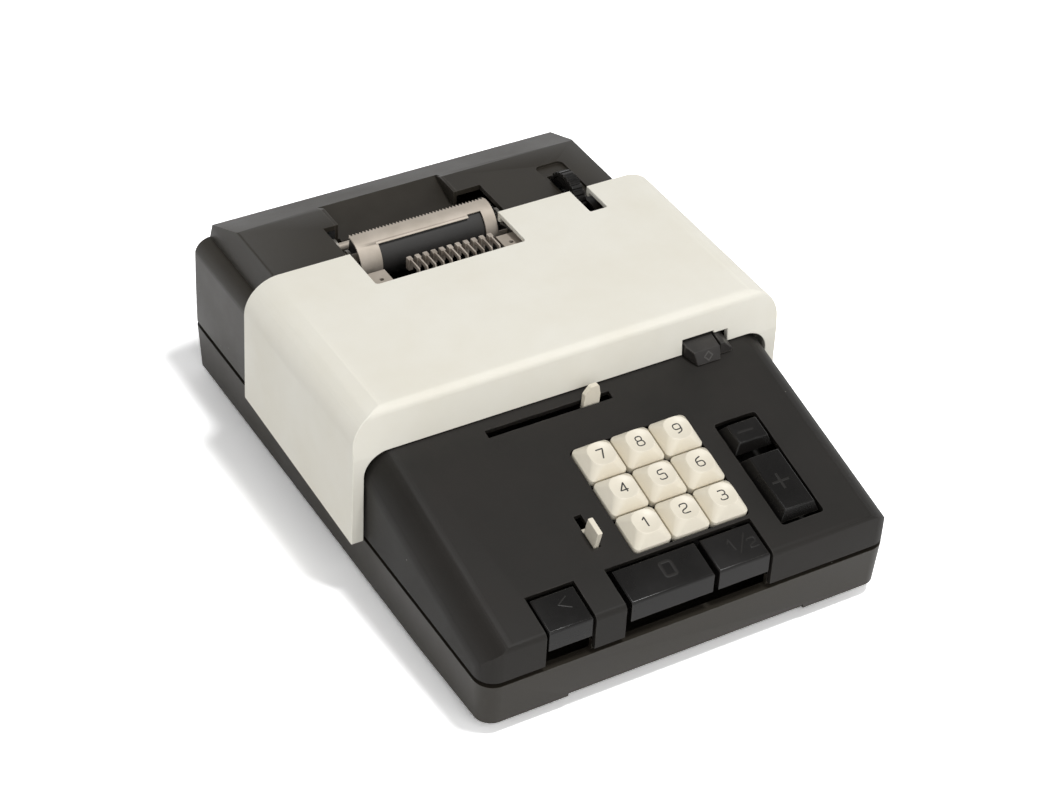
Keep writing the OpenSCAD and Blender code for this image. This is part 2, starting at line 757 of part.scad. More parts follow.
// Base pan, shrunk all round by an inset: leaning sides between conical corners, bottom rising at the front
module base_block(inset, top) {
    half = half_body - inset;
    low = base_z + inset;
    front_r = max(corner_r - inset, 2 * base_draft);
    back_r = max(back_corner_r - inset, 2 * base_draft);
    difference() {
        union() {
            along_y(front_y + inset + front_r, rear_y - inset - back_r)
                polygon([[-half, top], [-half + base_draft, low], [half - base_draft, low], [half, top]]);
            base_end(-1, front_r, inset, low, top);
            base_end(1, back_r, inset, low, top);
        }
        along_x(-half_body - 1, half_body + 1)
            polygon([[front_y - toe_d, base_z - 1], [front_y + toe_d, base_z - 1], [front_y + toe_d, low],
                [front_y - toe_d, low + 2 * toe_rise]]);
    }
}

// Front or rear half of the base pan with its two corners
module base_end(side, r, inset, low, top) {
    x = half_body - inset - r;
    face = side * (body_d / 2 - inset);
    along_x(-x, x) polygon([[0, top], [0, low], [face - side * base_draft, low], [face, top]]);
    for (s = [-x, x]) translate([s, face - side * r, low])
        cylinder(r1 = r - base_draft, r2 = r, h = top - low);
}

module base_pan() {
    color("#3b3936") difference() {
        union() {
            difference() {
                base_block(0, base_top);
                base_block(base_wall, base_top + 1);
            }
            base_rim();
            intersection() {
                base_block(1, base_top);
                for (p = concat(front_pillars, rear_pillars))
                    translate([p[0], p[1], base_z]) cylinder(r = pillar_r, h = base_h);
            }
        }
        for (p = concat(front_pillars, rear_pillars)) translate([p[0], p[1], 0]) {
            cylinder(r = pillar_bore, h = base_top + 1);
            cylinder(r = screw_head_r + rim_clear, h = screw_seat);
        }
        along_x(-recess_w / 2, recess_w / 2)
            polygon([[front_y - 1, 0], [front_y + recess_d, 0], [front_y + recess_d, base_z + toe_rise],
                [front_y - 1, base_z + toe_rise + recess_h]]);
        for (c = front_cuts) translate([c[0], front_y, base_top]) cube([c[1] - c[0], 3 * rim_in, base_h]);
        for (i = [0:vent_n - 1])
            translate([(i - (vent_n - 1) / 2) * vent_pitch - vent_w / 2,
                foot_rear_y - floor_vent_gap - floor_vent_l, 0])
                cube([vent_w, floor_vent_l, base_z + 2 * base_wall]);
    }
}

// Rim that stands up inside the housings behind the shadow gap, open under the front keys
module base_rim() {
    along_z(base_top - 2 * rim_h, housing_z + rim_h) difference() {
        body_plan(rim_in);
        body_plan(rim_in + rim_t);
    }
}

// Plan of the body, shrunk by an inset
module body_plan(inset) {
    half = half_body - inset;
    front = corner_r - inset;
    back = back_corner_r - inset;
    soft_polygon([[-half, front_y + inset], [half, front_y + inset], [half, rear_y - inset],
        [-half, rear_y - inset]], [front, front, back, back]);
}

module rubber_feet() {
    color("#1c1b1a") for (x = [-foot_x, foot_x], y = [foot_front_y, foot_rear_y])
        translate([x, y, 0]) difference() {
            cylinder(r1 = foot_r - 1, r2 = foot_r, h = foot_h);
            translate([0, 0, -0.1]) cylinder(r = foot_r / 3, h = foot_h / 2);
        }
}

module base_screws() {
    color("silver") for (p = concat(front_pillars, rear_pillars)) translate([p[0], p[1], 0]) {
        translate([0, 0, screw_seat - screw_head_h]) difference() {
            cylinder(r = screw_head_r, h = screw_head_h);
            translate([-screw_head_r, -0.5, -0.1]) cube([2 * screw_head_r, 1, 1.1]);
        }
        translate([0, 0, screw_seat - 0.5]) cylinder(r = screw_r, h = base_top + screw_up - screw_seat);
    }
}

// Section of the deck block across the slope; a negative inset makes it larger
module deck_section(inset, edge_r) {
    half = half_body - inset;
    soft_polygon([[-half, -hump_z], [-half, -inset], [half, -inset], [half, -hump_z]],
        [0, edge_r, edge_r, 0]);
}

// Front housing, shrunk by an inset
module front_block(inset, low, end_y) {
    half = half_body - inset;
    face = front_y + inset;
    drop = inset / cos(deck_slope);
    intersection() {
        on_deck() along_y(-deck_d / 2, 1.5 * deck_d) deck_section(inset, deck_edge_r - inset);
        along_x(-half_body, half_body)
            soft_polygon([[face, low], [face, deck_at(face) - drop], [end_y, deck_at(end_y) - drop],
                [end_y, low]], [0, max(front_edge_r - inset, 0.5), 0, 0]);
        along_z(low, hump_z)
            soft_polygon([[-half, face], [half, face], [half, end_y], [-half, end_y]],
                [corner_r - inset, corner_r - inset, 0, 0]);
    }
}

// All openings in the deck
module deck_openings() {
    reach = plate_drop + 2 * plate_t;
    over = front_h;
    translate([0, 0, -reach]) linear_extrude(2 * reach) {
        soft_rect([field_x - field_half, field_v0], [field_x + field_half, field_v0 + 2 * field_half],
            key_corner_r);
        soft_rect([well_mid - well_w / 2, well_v], [well_mid + well_w / 2, well_v + well_l], front_key_r);
        translate([slot_x0, slot_front_v]) square([slot_x1 - slot_x0, slot_w]);
        translate([repeat_x - repeat_slot_w / 2, repeat_front_v]) square([repeat_slot_w, repeat_slot_l]);
        translate([total_x + total_w / 2 - total_stem_w / 2 - total_clear, total_stem_v - total_clear])
            square([total_stem_w + 2 * total_clear, total_stem_t + total_travel + 2 * total_clear]);
    }
    translate([0, 0, -2 * over]) linear_extrude(4 * over)
        for (c = front_cuts) translate([c[0], -over]) square([c[1] - c[0], front_cut_v + over]);
}

module front_housing() {
    color("#343230") difference() {
        union() {
            difference() {
                front_block(0, housing_z, seam_y);
                front_block(wall, housing_z - 1, seam_y + 1);
            }
            intersection() {
                front_block(1, base_top, seam_y);
                for (p = front_pillars)
                    translate([p[0], p[1], base_top]) cylinder(r = pillar_r, h = hump_z - base_top);
            }
            on_deck() for (b = plate_bosses)
                translate([b[0], b[1], -plate_drop]) cylinder(r = boss_r, h = plate_drop - 1);
        }
        on_deck() deck_openings();
        for (p = front_pillars)
            translate([p[0], p[1], base_top - 1]) cylinder(r = pillar_bore, h = screw_up + 2);
        on_deck() for (b = plate_bosses)
            translate([b[0], b[1], -plate_drop - 1]) cylinder(r = boss_pin_r + run_clear, h = 4 * plate_t + 2);
    }
}

// Section of the rear housing across X: shoulders and raised top
module rear_section(inset) {
    half = half_body - inset;
    top = shoulder_z - inset;
    crown = hump_w / 2 - hump_lean - inset;
    foot = crown + hump_lean * (hump_h + shoulder_r) / hump_h;
    edge_r = max(hump_edge_r - inset, 0);
    soft_polygon([[-half, base_top], [-half + side_draft, top], [half - side_draft, top], [half, base_top]],
        [0, shoulder_r - inset, shoulder_r - inset, 0]);
    soft_polygon([[-foot, housing_z], [-foot, top - shoulder_r], [-crown, hump_z - inset],
        [crown, hump_z - inset], [foot, top - shoulder_r], [foot, housing_z]], [0, 0, edge_r, edge_r, 0, 0]);
}

// Rear housing, shrunk by an inset
module rear_block(inset, low, start_y) {
    half = half_body - inset;
    back = rear_y - inset;
    over = cover_rise;
    intersection() {
        along_y(start_y, rear_y) rear_section(inset);
        along_x(-half_body, half_body)
            polygon([[start_y, low], [start_y, hump_z + over],
                [bevel_y - inset * bevel_fall - (over + inset) / bevel_fall, hump_z + over],
                [back - back_lean, hump_z - bevel_drop - inset * (1 - bevel_fall)], [back, low]]);
        along_z(low, hump_z + over)
            soft_polygon([[-half, start_y], [half, start_y], [half, back], [-half, back]],
                [0, 0, back_corner_r - inset, back_corner_r - inset]);
    }
}

// Openings of the raised top: the printer's well, the paper table and the thumbwheel
module hump_openings() {
    wheel_right = wheel_x + wheel_w / 2 + wheel_clear_r;
    wheel_left = wheel_x - wheel_w / 2 - wheel_clear_r;
    slot_y0 = cover_y1 - wheel_slot_d;
    well_y0 = seam_y + 3 * wall;
    along_z(shoulder_z, hump_z + 1) {
        translate([well_left, well_y0]) square([well_right - well_left, well_y1 - well_y0]);
        translate([table_x - table_w / 2, well_y1 - 1]) square([table_w, table_y1 - well_y1 + 1]);
        translate([wheel_left, slot_y0])
            square([wheel_right - wheel_left, platen_ay + wheel_r + 1 - slot_y0]);
    }
    along_z(hump_z - finger_drop, hump_z + 1)
        soft_rect([wheel_left - finger_left, slot_y0],
            [wheel_right + finger_right, platen_ay + wheel_r + finger_back], 2 * notch_r);
}

module rear_housing() {
    color("#454240") difference() {
        union() {
            difference() {
                rear_block(0, housing_z, seam_y + seam);
                rear_block(wall, housing_z - 1, seam_y + seam - 1);
            }
            intersection() {
                rear_block(1, base_top, seam_y + seam);
                for (p = rear_pillars)
                    translate([p[0], p[1], base_top]) cylinder(r = pillar_r, h = hump_z - base_top);
            }
        }
        hump_openings();
        for (p = rear_pillars)
            translate([p[0], p[1], base_top - 1]) cylinder(r = pillar_bore, h = screw_up + 2);
        for (i = [0:vent_n - 1])
            translate([vent_in - half_body + i * vent_pitch, rear_y - 3 * wall, inlet_z - vent_h / 2])
                cube([vent_w, 6 * wall, vent_h]);
        translate([inlet_x - inlet_w / 2 - inlet_wall, rear_y - 2 * wall - back_lean,
            inlet_z - inlet_open_h / 2 - inlet_wall])
            cube([inlet_w + 2 * inlet_wall, 4 * wall + back_lean, inlet_open_h + 2 * inlet_wall]);
    }
}

// Arch of the saddle cover across X, shrunk by an inset
module cover_section(inset) {
    half = half_body + cover_proud - inset;
    top = cover_z - inset;
    soft_polygon([[-half, base_z], [-half + cover_draft, top], [half - cover_draft, top], [half, base_z]],
        [0, arch_r - inset, arch_r - inset, 0]);
}

module saddle_cover() {
    lip_z = deck_at(cover_y0);
    inner_y = cover_y0 + cover_front_wall;
    rib_x = hump_w / 2 - rib_in;
    over = 3 * cover_wall;
    color("#e4e0d4") {
        difference() {
            intersection() {
                along_y(cover_y0, cover_y1) cover_section(0);
                along_x(-half_body - cover_proud, half_body + cover_proud)
                    soft_polygon([[cover_y0, base_top + skirt_front], [cover_y0, lip_z],
                        [cover_y0 + cover_lean, cover_z], [cover_y1, cover_z],
                        [cover_y1, base_top + skirt_rear]], [0, 0, cover_edge_r, 0, 0]);
            }
            intersection() {
                along_y(inner_y, cover_y1 - cover_lip) cover_section(cover_wall);
                along_x(-half_body - cover_proud, half_body + cover_proud)
                    polygon([[inner_y, 0], [inner_y, lip_z], [inner_y + cover_lean, cover_z],
                        [cover_y1, cover_z], [cover_y1, 0]]);
            }
            on_deck() along_y(cover_v - 2 * over, cover_v + over) deck_section(-cover_clear, opening_r);
            along_y(cover_y1 - cover_lip - 1, cover_y1 + 1) rear_section(-cover_clear);
            along_z(shoulder_z, cover_z + 1) {
                soft_rect([tear_x0 - notch_left, cover_y1 - notch_d], [tear_x1 + notch_right, cover_y1 + over],
                    notch_r);
                soft_rect([wheel_x - wheel_w / 2 - wheel_clear_l, cover_y1 - wheel_slot_d],
                    [wheel_x + wheel_w / 2 + wheel_clear_r, cover_y1 + over], notch_r / 2);
            }
            total_notch();
        }
        for (x = [-rib_x, rib_x])
            along_y(seam_y + seam, cover_y1 - wheel_slot_d - 2 * cover_wall)
                translate([x - cover_wall / 2, hump_z]) square([cover_wall, cover_rise - cover_wall / 2]);
    }
}

// Paper table: sloping floor between two cheeks, flush with the raised top
module paper_table() {
    x0 = table_x - table_w / 2;
    x1 = table_x + table_w / 2;
    over = 2 * table_t;
    color("#403d3a") intersection() {
        rear_block(0, housing_z, seam_y);
        difference() {
            along_x(x0, x1)
                polygon([[table_y0, table_front_z - over], [table_y0, hump_z + over], [table_y1, hump_z + over],
                    [table_y1, table_end_z - over]]);
            along_x(x0 + table_t, x1 - table_t)
                polygon([[table_y0 - over, table_front_z - over * table_fall], [table_y0 - over, cover_z],
                    [table_y1 + over, cover_z], [table_y1 + over, table_end_z + over * table_fall]]);
            for (x = [x0, x1]) translate([x - 1.5 * table_t, table_y0 - over, table_front_z - over])
                cube([3 * table_t, well_y1 - table_y0 + over, table_end + 2 * over]);
        }
    }
}

// One digit key, drawn about its place on the deck
module digit_key(index) {
    place = field_stems[index];
    half = key_w / 2;
    dish_r = (pow(key_top_d / 2, 2) + pow(key_dish, 2)) / (2 * key_dish);
    color("#ece6d8") on_deck() translate([place[0], place[1], 0]) {
        difference() {
            union() {
                along_z(-key_sink, key_lip) soft_rect([-half, -half], [half, half], key_corner_r);
                hull() {
                    along_z(key_lip - 0.1, key_lip)
                        offset(r = key_corner_r, $fn = 32) square(key_w - 2 * key_corner_r, center = true);
                    translate([0, 0, key_h - 0.5]) cylinder(d = key_top_d, h = 0.5, $fn = 32);
                }
            }
            translate([0, 0, key_h + dish_r - key_dish]) sphere(dish_r);
        }
        translate([0, 0, stem_bottom]) cylinder(r = stem_r, h = -stem_bottom - key_sink / 2);
    }
}
module key_1() digit_key(0);
module key_2() digit_key(1);
module key_3() digit_key(2);
module key_4() digit_key(3);
module key_5() digit_key(4);
module key_6() digit_key(5);
module key_7() digit_key(6);
module key_8() digit_key(7);
module key_9() digit_key(8);

// Black key at the front edge: top flush with the deck, upright front face
module front_key(x, w, stems) {
    lean = front_key_h * tan(deck_slope);
    color("#242322") on_deck() {
        intersection() {
            along_x(x, x + w)
                soft_polygon([[front_set - lean, -front_key_h], [front_set, 0], [front_key_d, 0],
                    [front_key_d, -front_key_h]], [0, front_key_r, front_key_r / 2, 0]);
            along_y(-front_key_h, front_key_d + 1)
                soft_polygon([[x, -front_key_h], [x, 0], [x + w, 0], [x + w, -front_key_h]],
                    [0, front_key_r / 2, front_key_r / 2, 0]);
        }
        for (s = stems)
            translate([s[0], s[1], stem_bottom]) cylinder(r = stem_r, h = -stem_bottom - front_key_h + 1);
    }
}
module zero_key() front_key(zero_x, zero_w, zero_stems);
module half_key() front_key(half_x, half_w, half_stems);
module correction_key() front_key(correction_x, correction_w, correction_stems);

// Flared key in the motor key well
module motor_key(v, l, stems) {
    flare = motor_key_flare;
    x0 = well_mid - motor_key_w / 2;
    x1 = well_mid + motor_key_w / 2;
    radii = [0, motor_key_r, motor_key_r, 0];
    color("#2a2928") on_deck() {
        intersection() {
            along_x(x0 - flare, x1 + flare)
                soft_polygon([[v - flare, -key_sink], [v, motor_key_h], [v + l, motor_key_h],
                    [v + l + flare, -key_sink]], radii);
            along_y(v - flare, v + l + flare)
                soft_polygon([[x0 - flare, -key_sink], [x0, motor_key_h], [x1, motor_key_h],
                    [x1 + flare, -key_sink]], radii);
        }
        for (s = stems)
            translate([s[0], s[1], stem_bottom]) cylinder(r = stem_r, h = -stem_bottom - key_sink / 2);
    }
}
module plus_key() motor_key(plus_v, plus_l, plus_stems);
module minus_key() motor_key(minus_v, minus_l, minus_stems);

// Opening in the cover's front wall for the total key, higher over its body than over its ear
module total_notch() {
    d = total_back_v + total_travel - total_face_v;
    on_deck() translate([0, total_face_v, -1]) {
        translate([total_x - total_clear, 0, 0])
            cube([total_w + 2 * total_clear, d, 1 + total_h + total_gap]);
        translate([total_x + total_w, 0, 0])
            cube([total_groove + total_ear_w + total_clear, d, 1 + total_h + total_clear]);
    }
}

// Total key: body that narrows towards its sloping face, with an ear beside it, on a stem through the deck
module total_key() {
    face = total_face_v;
    ear_face = face + total_ear_set;
    back = total_back_v;
    x1 = total_x + total_w;
    ear_x1 = total_ear_x + total_ear_w;
    mid = total_x + total_w / 2;
    web_v = cover_v + cover_front_wall;
    foot_z = -wall - rim_clear - repeat_foot_t;
    color("#262524") on_deck() {
        intersection() {
            along_x(total_x, x1)
                soft_polygon([[face, total_lift], [face + total_rake, total_h], [back, total_h],
                    [back, total_lift]], [0, motor_key_r, 0, 0]);
            along_z(0, 2 * total_h)
                polygon([[total_x + total_taper, face], [x1, face], [x1, back], [total_x, back],
                    [total_x, cover_v]]);
        }
        intersection() {
            along_x(total_ear_x, ear_x1)
                polygon([[ear_face, total_lift], [ear_face + total_rake / 2, total_h], [back, total_h],
                    [back, total_lift]]);
            along_y(face, back)
                polygon([[total_ear_x, 0], [total_ear_x, total_h], [total_ear_x + total_ear_w / 3, total_h],
                    [ear_x1, total_ear_h], [ear_x1, 0]]);
        }
        translate([x1 - 1, web_v, total_lift]) cube([total_groove + 2, back - web_v, total_h / 2]);
        translate([mid - total_stem_w / 2, total_stem_v, foot_z])
            cube([total_stem_w, total_stem_t, total_h / 2 - foot_z]);
        translate([mid - total_stem_w, total_stem_v - total_stem_t / 2, foot_z])
            cube([2 * total_stem_w, 2 * total_stem_t, repeat_foot_t]);
    }
}

// Cream tab in the cross slot, standing on the pin carriage
module column_pointer() {
    top_z = carriage_z + carriage_h;
    surface = deck_at(pointer_y);
    x1 = pointer_x + pointer_w;
    y0 = pointer_y - lever_t / 2;
    color("#e6e0d2") {
        along_y(y0, y0 + lever_t)
            soft_polygon([[pointer_x, surface - 4], [pointer_x + 0.6, surface + 0.55 * pointer_h],
                [pointer_x + 4, surface + pointer_h], [x1 - 0.3, surface + pointer_h],
                [x1 + 0.7, surface + 0.4 * pointer_h], [x1, surface - 4]], [0, 1.5, 1.2, 1, 1.5, 0]);
        translate([pointer_x, y0, top_z]) cube([pointer_w, lever_t, surface - 3 - top_z]);
    }
}

// Box of stop pins that steps across under the deck
module pin_carriage() {
    x0 = carriage_x - carriage_w / 2;
    y0 = pointer_y - carriage_d / 2;
    third = carriage_d / 3;
    color("#8d8a84") difference() {
        union() {
            translate([x0, y0, carriage_z]) cube([carriage_w, carriage_d, carriage_h]);
            for (i = [0:pin_n - 1])
                translate([carriage_x + (i - (pin_n - 1) / 2) * pin_pitch, pointer_y + third,
                    carriage_z + carriage_h - 1]) cylinder(r = pin_r, h = rail_r + 1);
        }
        for (s = [-1, 1])
            bar_x(x0 - 1, x0 + carriage_w + 1, pointer_y + s * rail_gap / 2, rail_z, rail_r + run_clear);
        translate([x0 + third, y0 + third, carriage_z - 1]) cube([carriage_w - 2 * third, third, rail_up]);
    }
}

module carriage_rails() {
    over = bracket_t + shaft_end;
    color("silver") for (s = [-1, 1])
        bar_x(rail_x0 - over, rail_x1 + over, pointer_y + s * rail_gap / 2, rail_z, rail_r);
}

module rail_brackets() {
    half = carriage_d / 2 + 1;
    top = rail_z + 3 * rail_r;
    color("#77746e") for (x = [rail_x0 - bracket_t, rail_x1]) difference() {
        union() {
            along_x(x, x + bracket_t)
                soft_polygon([[pointer_y - half, floor_z], [pointer_y - half, top], [pointer_y + half, top],
                    [pointer_y + half, floor_z]], [0, 2 * rail_r, 2 * rail_r, 0]);
            translate([x > carriage_x ? x - half : x, pointer_y - half, floor_z])
                cube([bracket_t + half, 2 * half, bracket_t]);
        }
        for (s = [-1, 1])
            bar_x(x - 1, x + bracket_t + 1, pointer_y + s * rail_gap / 2, rail_z, rail_r + run_clear);
    }
}

// Cream fin that slides in its short slot, held by a foot under the deck
module repeat_lever() {
    x0 = repeat_x - lever_t / 2;
    v0 = repeat_front_v + 0.4;
    low = -wall - rim_clear - repeat_foot_t;
    out = repeat_foot_out;
    color("#e6e0d2") on_deck() {
        along_x(x0, x0 + lever_t)
            soft_polygon([[v0, low], [v0, 0.4], [v0 - 3, repeat_h * 0.55], [v0 - 0.5, repeat_h],
                [v0 + repeat_l - 3, repeat_h - 1], [v0 + repeat_l, 0.5], [v0 + repeat_l, low]],
                [0, 0, 1.2, 1.2, 1.2, 1.2, 0]);
        translate([x0 - out, v0 - out, low]) cube([lever_t + 2 * out, repeat_l + 2 * out, repeat_foot_t]);
    }
}

// Steel plate under the deck that guides every key stem
module key_plate() {
    color("#9a978f") on_deck() along_z(plate_top - plate_t, plate_top) difference() {
        soft_rect([-plate_x, plate_v0], [plate_x, plate_v1], 2 * plate_t);
        for (s = all_stems) translate(s) circle(stem_r + stem_clear);
        for (b = plate_bosses) translate(b) circle(boss_pin_r + run_clear);
        soft_rect([-plate_x + plate_border, front_cut_v + plate_border / 3],
            [repeat_x - plate_border, plate_v1 - plate_border], 2 * plate_t);
    }
}

module plate_screws() {
    low = plate_top - plate_t;
    color("silver") on_deck() for (b = plate_bosses) translate([b[0], b[1], low]) {
        translate([0, 0, -plate_t]) difference() {
            cylinder(r = boss_head_r, h = plate_t);
            translate([-boss_head_r, -0.4, -0.1]) cube([2 * boss_head_r, 0.8, plate_t / 2]);
        }
        translate([0, 0, -0.2]) cylinder(r = boss_pin_r, h = plate_t + 4 * plate_t);
    }
}

module platen_roller() {
    color("#2b2a29") difference() {
        bar_x(platen_x0, platen_x1, platen_ay, platen_az, platen_r);
        bar_x(platen_x0 - 1, platen_x1 + 1, platen_ay, platen_az, shaft_r + run_clear);
    }
}

module platen_shaft() {
    clip_x = frame_l0 - 0.4 - 1.2;
    color("silver") {
        bar_x(clip_x, wheel_x + wheel_w / 2 + 1, platen_ay, platen_az, shaft_r);
        bar_x(clip_x, clip_x + 1.2, platen_ay, platen_az, shaft_r + 1.4);
    }
}

module platen_thumbwheel() {
    x0 = wheel_x - wheel_w / 2;
    color("#1f1e1d") difference() {
        bar_x(x0, x0 + wheel_w, platen_ay, platen_az, wheel_r);
        bar_x(x0 - 1, x0 + wheel_w + 1, platen_ay, platen_az, shaft_r + run_clear);
        for (i = [0:wheel_ribs - 1]) translate([x0 - 1, platen_ay, platen_az])
            rotate([i * 360 / wheel_ribs, 0, 0]) translate([0, 0, wheel_r + 0.1])
                rotate([0, 90, 0]) cylinder(r = 0.8, h = wheel_w + 2);
        for (x = [x0 - 1, x0 + wheel_w - 1]) difference() {
            bar_x(x, x + 2, platen_ay, platen_az, wheel_r - 2);
            bar_x(x - 1, x + 3, platen_ay, platen_az, shaft_r + 2);
        }
    }
}

module platen_ratchet() {
    x0 = platen_x1 + 1;
    color("#a09c94") translate([x0, platen_ay, platen_az]) rotate([90, 0, 90]) linear_extrude(2.5)
        difference() {
            gear_outline(28, 0.62);
            circle(shaft_r + run_clear);
        }
}

module pressure_roller() {
    color("#33312f") {
        bar_x(platen_x0 + press_r, platen_x1 - press_r, press_y, press_z, press_r);
        bar_x(frame_l0 - shaft_end, frame_r1 + shaft_end, press_y, press_z, tie_r);
    }
}

// Sheet wrapped round the platen: toothed upper edge, stepped window for the type with a lip over it
module tear_bar() {
    win_x0 = tear_x0 + tear_band_l;
    win_x1 = tear_x1 - tear_band_r;
    step_x = win_x1 - tear_step;
    length = tear_x1 - tear_x0;
    teeth = floor(length / tear_pitch);
    color("#b9b3a8") {
        difference() {
            tear_sheet(tear_x0, tear_x1, tear_start, tear_finish, tear_in, tear_out);
            tear_window(win_x0, win_x1, tear_window);
            tear_window(step_x, win_x1, tear_window_step);
            translate([tear_x0, platen_ay + tear_out * cos(tear_start) - tear_tooth, platen_az + tear_out / 2])
                linear_extrude(tear_out)
                    polygon(concat([for (i = [0:teeth - 1], k = [[0, tear_tooth], [0.5, 0], [1, tear_tooth]])
                        [(i + k[0]) * tear_pitch, k[1]]], [[length, tear_out], [0, tear_out]]));
        }
        tear_sheet(win_x0 - 1, step_x, tear_window - 4, tear_window + 2, tear_out - tear_t / 2,
            tear_out + tear_t / 2);
        tear_sheet(frame_l0 + frame_t, tear_x0 + 1, tear_strap, tear_finish, tear_in, tear_out);
        tear_sheet(tear_x1 - 1, frame_r0, tear_strap, tear_finish, tear_in, tear_out);
    }
}

// Part of a tube round the platen between two angles, counted from the back over the top
module tear_sheet(x0, x1, a0, a1, r0, r1) {
    far = 3 * r1;
    middle = (a0 + a1) / 2;
    translate([0, platen_ay, platen_az]) along_x(x0, x1) intersection() {
        difference() {
            circle(r1);
            circle(r0);
        }
        polygon([[0, 0], far * [cos(a0), sin(a0)], far * [cos(middle), sin(middle)], far * [cos(a1), sin(a1)]]);
    }
}

// Wedge that opens the tear bar's window from an angle down past its lower edge
module tear_window(x0, x1, a0) {
    far = 3 * tear_out;
    a1 = tear_finish + 4;
    translate([0, platen_ay, platen_az]) along_x(x0, x1)
        polygon([[0, 0], far * [cos(a0), sin(a0)], far * [cos(a1), sin(a1)]]);
}

// Plate with two screw lugs in front of the platen, carried by the frames
module printer_plate() {
    x0 = frame_l0 - shaft_end;
    x1 = frame_r1 + shaft_end;
    gap_x0 = x0 + lug_left_w;
    gap_x1 = x1 - lug_right_w;
    strip_y = lug_y0 + strip_w;
    color("#a7a299") along_z(plate_seat_z, plate_seat_z + lug_t) difference() {
        translate([x0, lug_y0]) square([x1 - x0, lug_y1 - lug_y0]);
        translate([gap_x0, strip_y]) square([gap_x1 - gap_x0, lug_y1 - strip_y + 1]);
        for (x = [gap_x0 - lug_hole_in, gap_x1 + lug_hole_in])
            translate([x, platen_ay - lug_hole_fore]) circle(lug_hole_r);
    }
}

// One type bar seen from the side, about its pivot: leg, level arm and head hanging at the platen's side
module type_outline() {
    arm = head_back - arm_l;
    difference() {
        union() {
            circle(type_hub_r);
            polygon([[-leg_w, 0], [arm, head_up], [head_back, head_up], [head_back, head_up - head_h],
                [head_back - head_t, head_up - head_h], [head_back - head_t, head_up - arm_t],
                [arm + leg_w / 2, head_up - arm_t], [leg_w, 0]]);
        }
        circle(type_shaft_r + run_clear);
    }
}

module type_bars() {
    color("#b49a63") for (i = [0:type_n - 1]) {
        x = type_x0 + i * type_pitch - type_t / 2;
        translate([0, type_y, type_z]) along_x(x, x + type_t) type_outline();
    }
}

module type_shaft() {
    color("silver") bar_x(frame_l0 - shaft_end, frame_r1 + shaft_end, type_y, type_z, type_shaft_r);
}

// Steel side frame: foot on the base, ear for the platen, seat for the printer plate
module printer_frame(x) {
    holes = [[platen_ay, platen_az, shaft_r], [type_y, type_z, type_shaft_r], [press_y, press_z, tie_r],
        [guide_y, guide_z, tie_r], [shaft_y, motor_z, main_r], [acc_y, acc_z, acc_shaft_r],
        [tie_y, tie_z, tie_r]];
    color("#6f6b65") difference() {
        union() {
            along_x(x, x + frame_t)
                polygon([[frame_y0, floor_z], [frame_y0, acc_z + 1.5 * acc_r], [lug_y0, plate_seat_z],
                    [lug_y1, plate_seat_z], [platen_ay - ear_r, platen_az], [guide_y + guide_ear_r, guide_z],
                    [frame_y1, platen_az - 3 * ear_r], [frame_y1, floor_z]]);
            bar_x(x, x + frame_t, platen_ay, platen_az, ear_r);
            bar_x(x, x + frame_t, guide_y, guide_z, guide_ear_r);
        }
        for (h = holes) bar_x(x - 1, x + frame_t + 1, h[0], h[1], h[2] + run_clear);
        along_x(x - 1, x + frame_t + 1)
            soft_rect([shaft_y + 3 * main_r, tie_z + 2 * main_r], [tie_y - 2 * main_r, motor_z], main_r);
    }
}
module frame_left() printer_frame(frame_l0);
module frame_right() printer_frame(frame_r0);

module tie_rods() {
    color("silver") {
        bar_x(frame_l0 - shaft_end, frame_r1 + shaft_end, guide_y, guide_z, tie_r);
        bar_x(frame_l0 - shaft_end, frame_r1 + shaft_end, tie_y, tie_z, tie_r);
    }
}

module motor() {
    y = motor_ay;
    color("#55524e") difference() {
        union() {
            bar_x(motor_x, motor_x + motor_l, y, motor_z, motor_r);
            bar_x(motor_x - 1, motor_x + motor_l + 3, y, motor_z, motor_r / 3);
        }
        for (a = [0:45:315]) translate([motor_x + motor_l / 2, y, motor_z]) rotate([a + 22.5, 0, 0])
            translate([-motor_l / 4, -2, motor_r - 1.5]) cube([motor_l / 2, 4, 4]);
        bar_x(motor_x - 2, motor_x + motor_l / 2, y, motor_z, motor_shaft_r + run_clear);
    }
}

module motor_cradle() {
    y = motor_ay;
    half = motor_r * 0.72;
    end = motor_l / 6;
    color("#77746e") difference() {
        translate([motor_x + end, y - half, floor_z])
            cube([motor_l - 2 * end, 2 * half, motor_z - floor_z - motor_r * 0.45]);
        bar_x(motor_x, motor_x + motor_l, y, motor_z, motor_r);
    }
}

module motor_pinion() {
    y = motor_ay;
    color("#b08d4a") {
        translate([gear_x, y, motor_z]) rotate([90, 0, 90]) linear_extrude(gear_w)
            rotate(180 / pinion_n) gear_outline(pinion_n, gear_mod);
        bar_x(gear_x + gear_w - 1, motor_x + 12, y, motor_z, motor_shaft_r);
    }
}

module drive_gear() {
    color("#a58a52") translate([gear_x, shaft_y, motor_z]) rotate([90, 0, 90]) linear_extrude(gear_w)
        difference() {
            gear_outline(gear_n, gear_mod);
            circle(main_r + run_clear);
            for (a = [0:60:300]) rotate(a) translate([gear_r * 0.58, 0]) circle(gear_r * 0.17);
        }
}

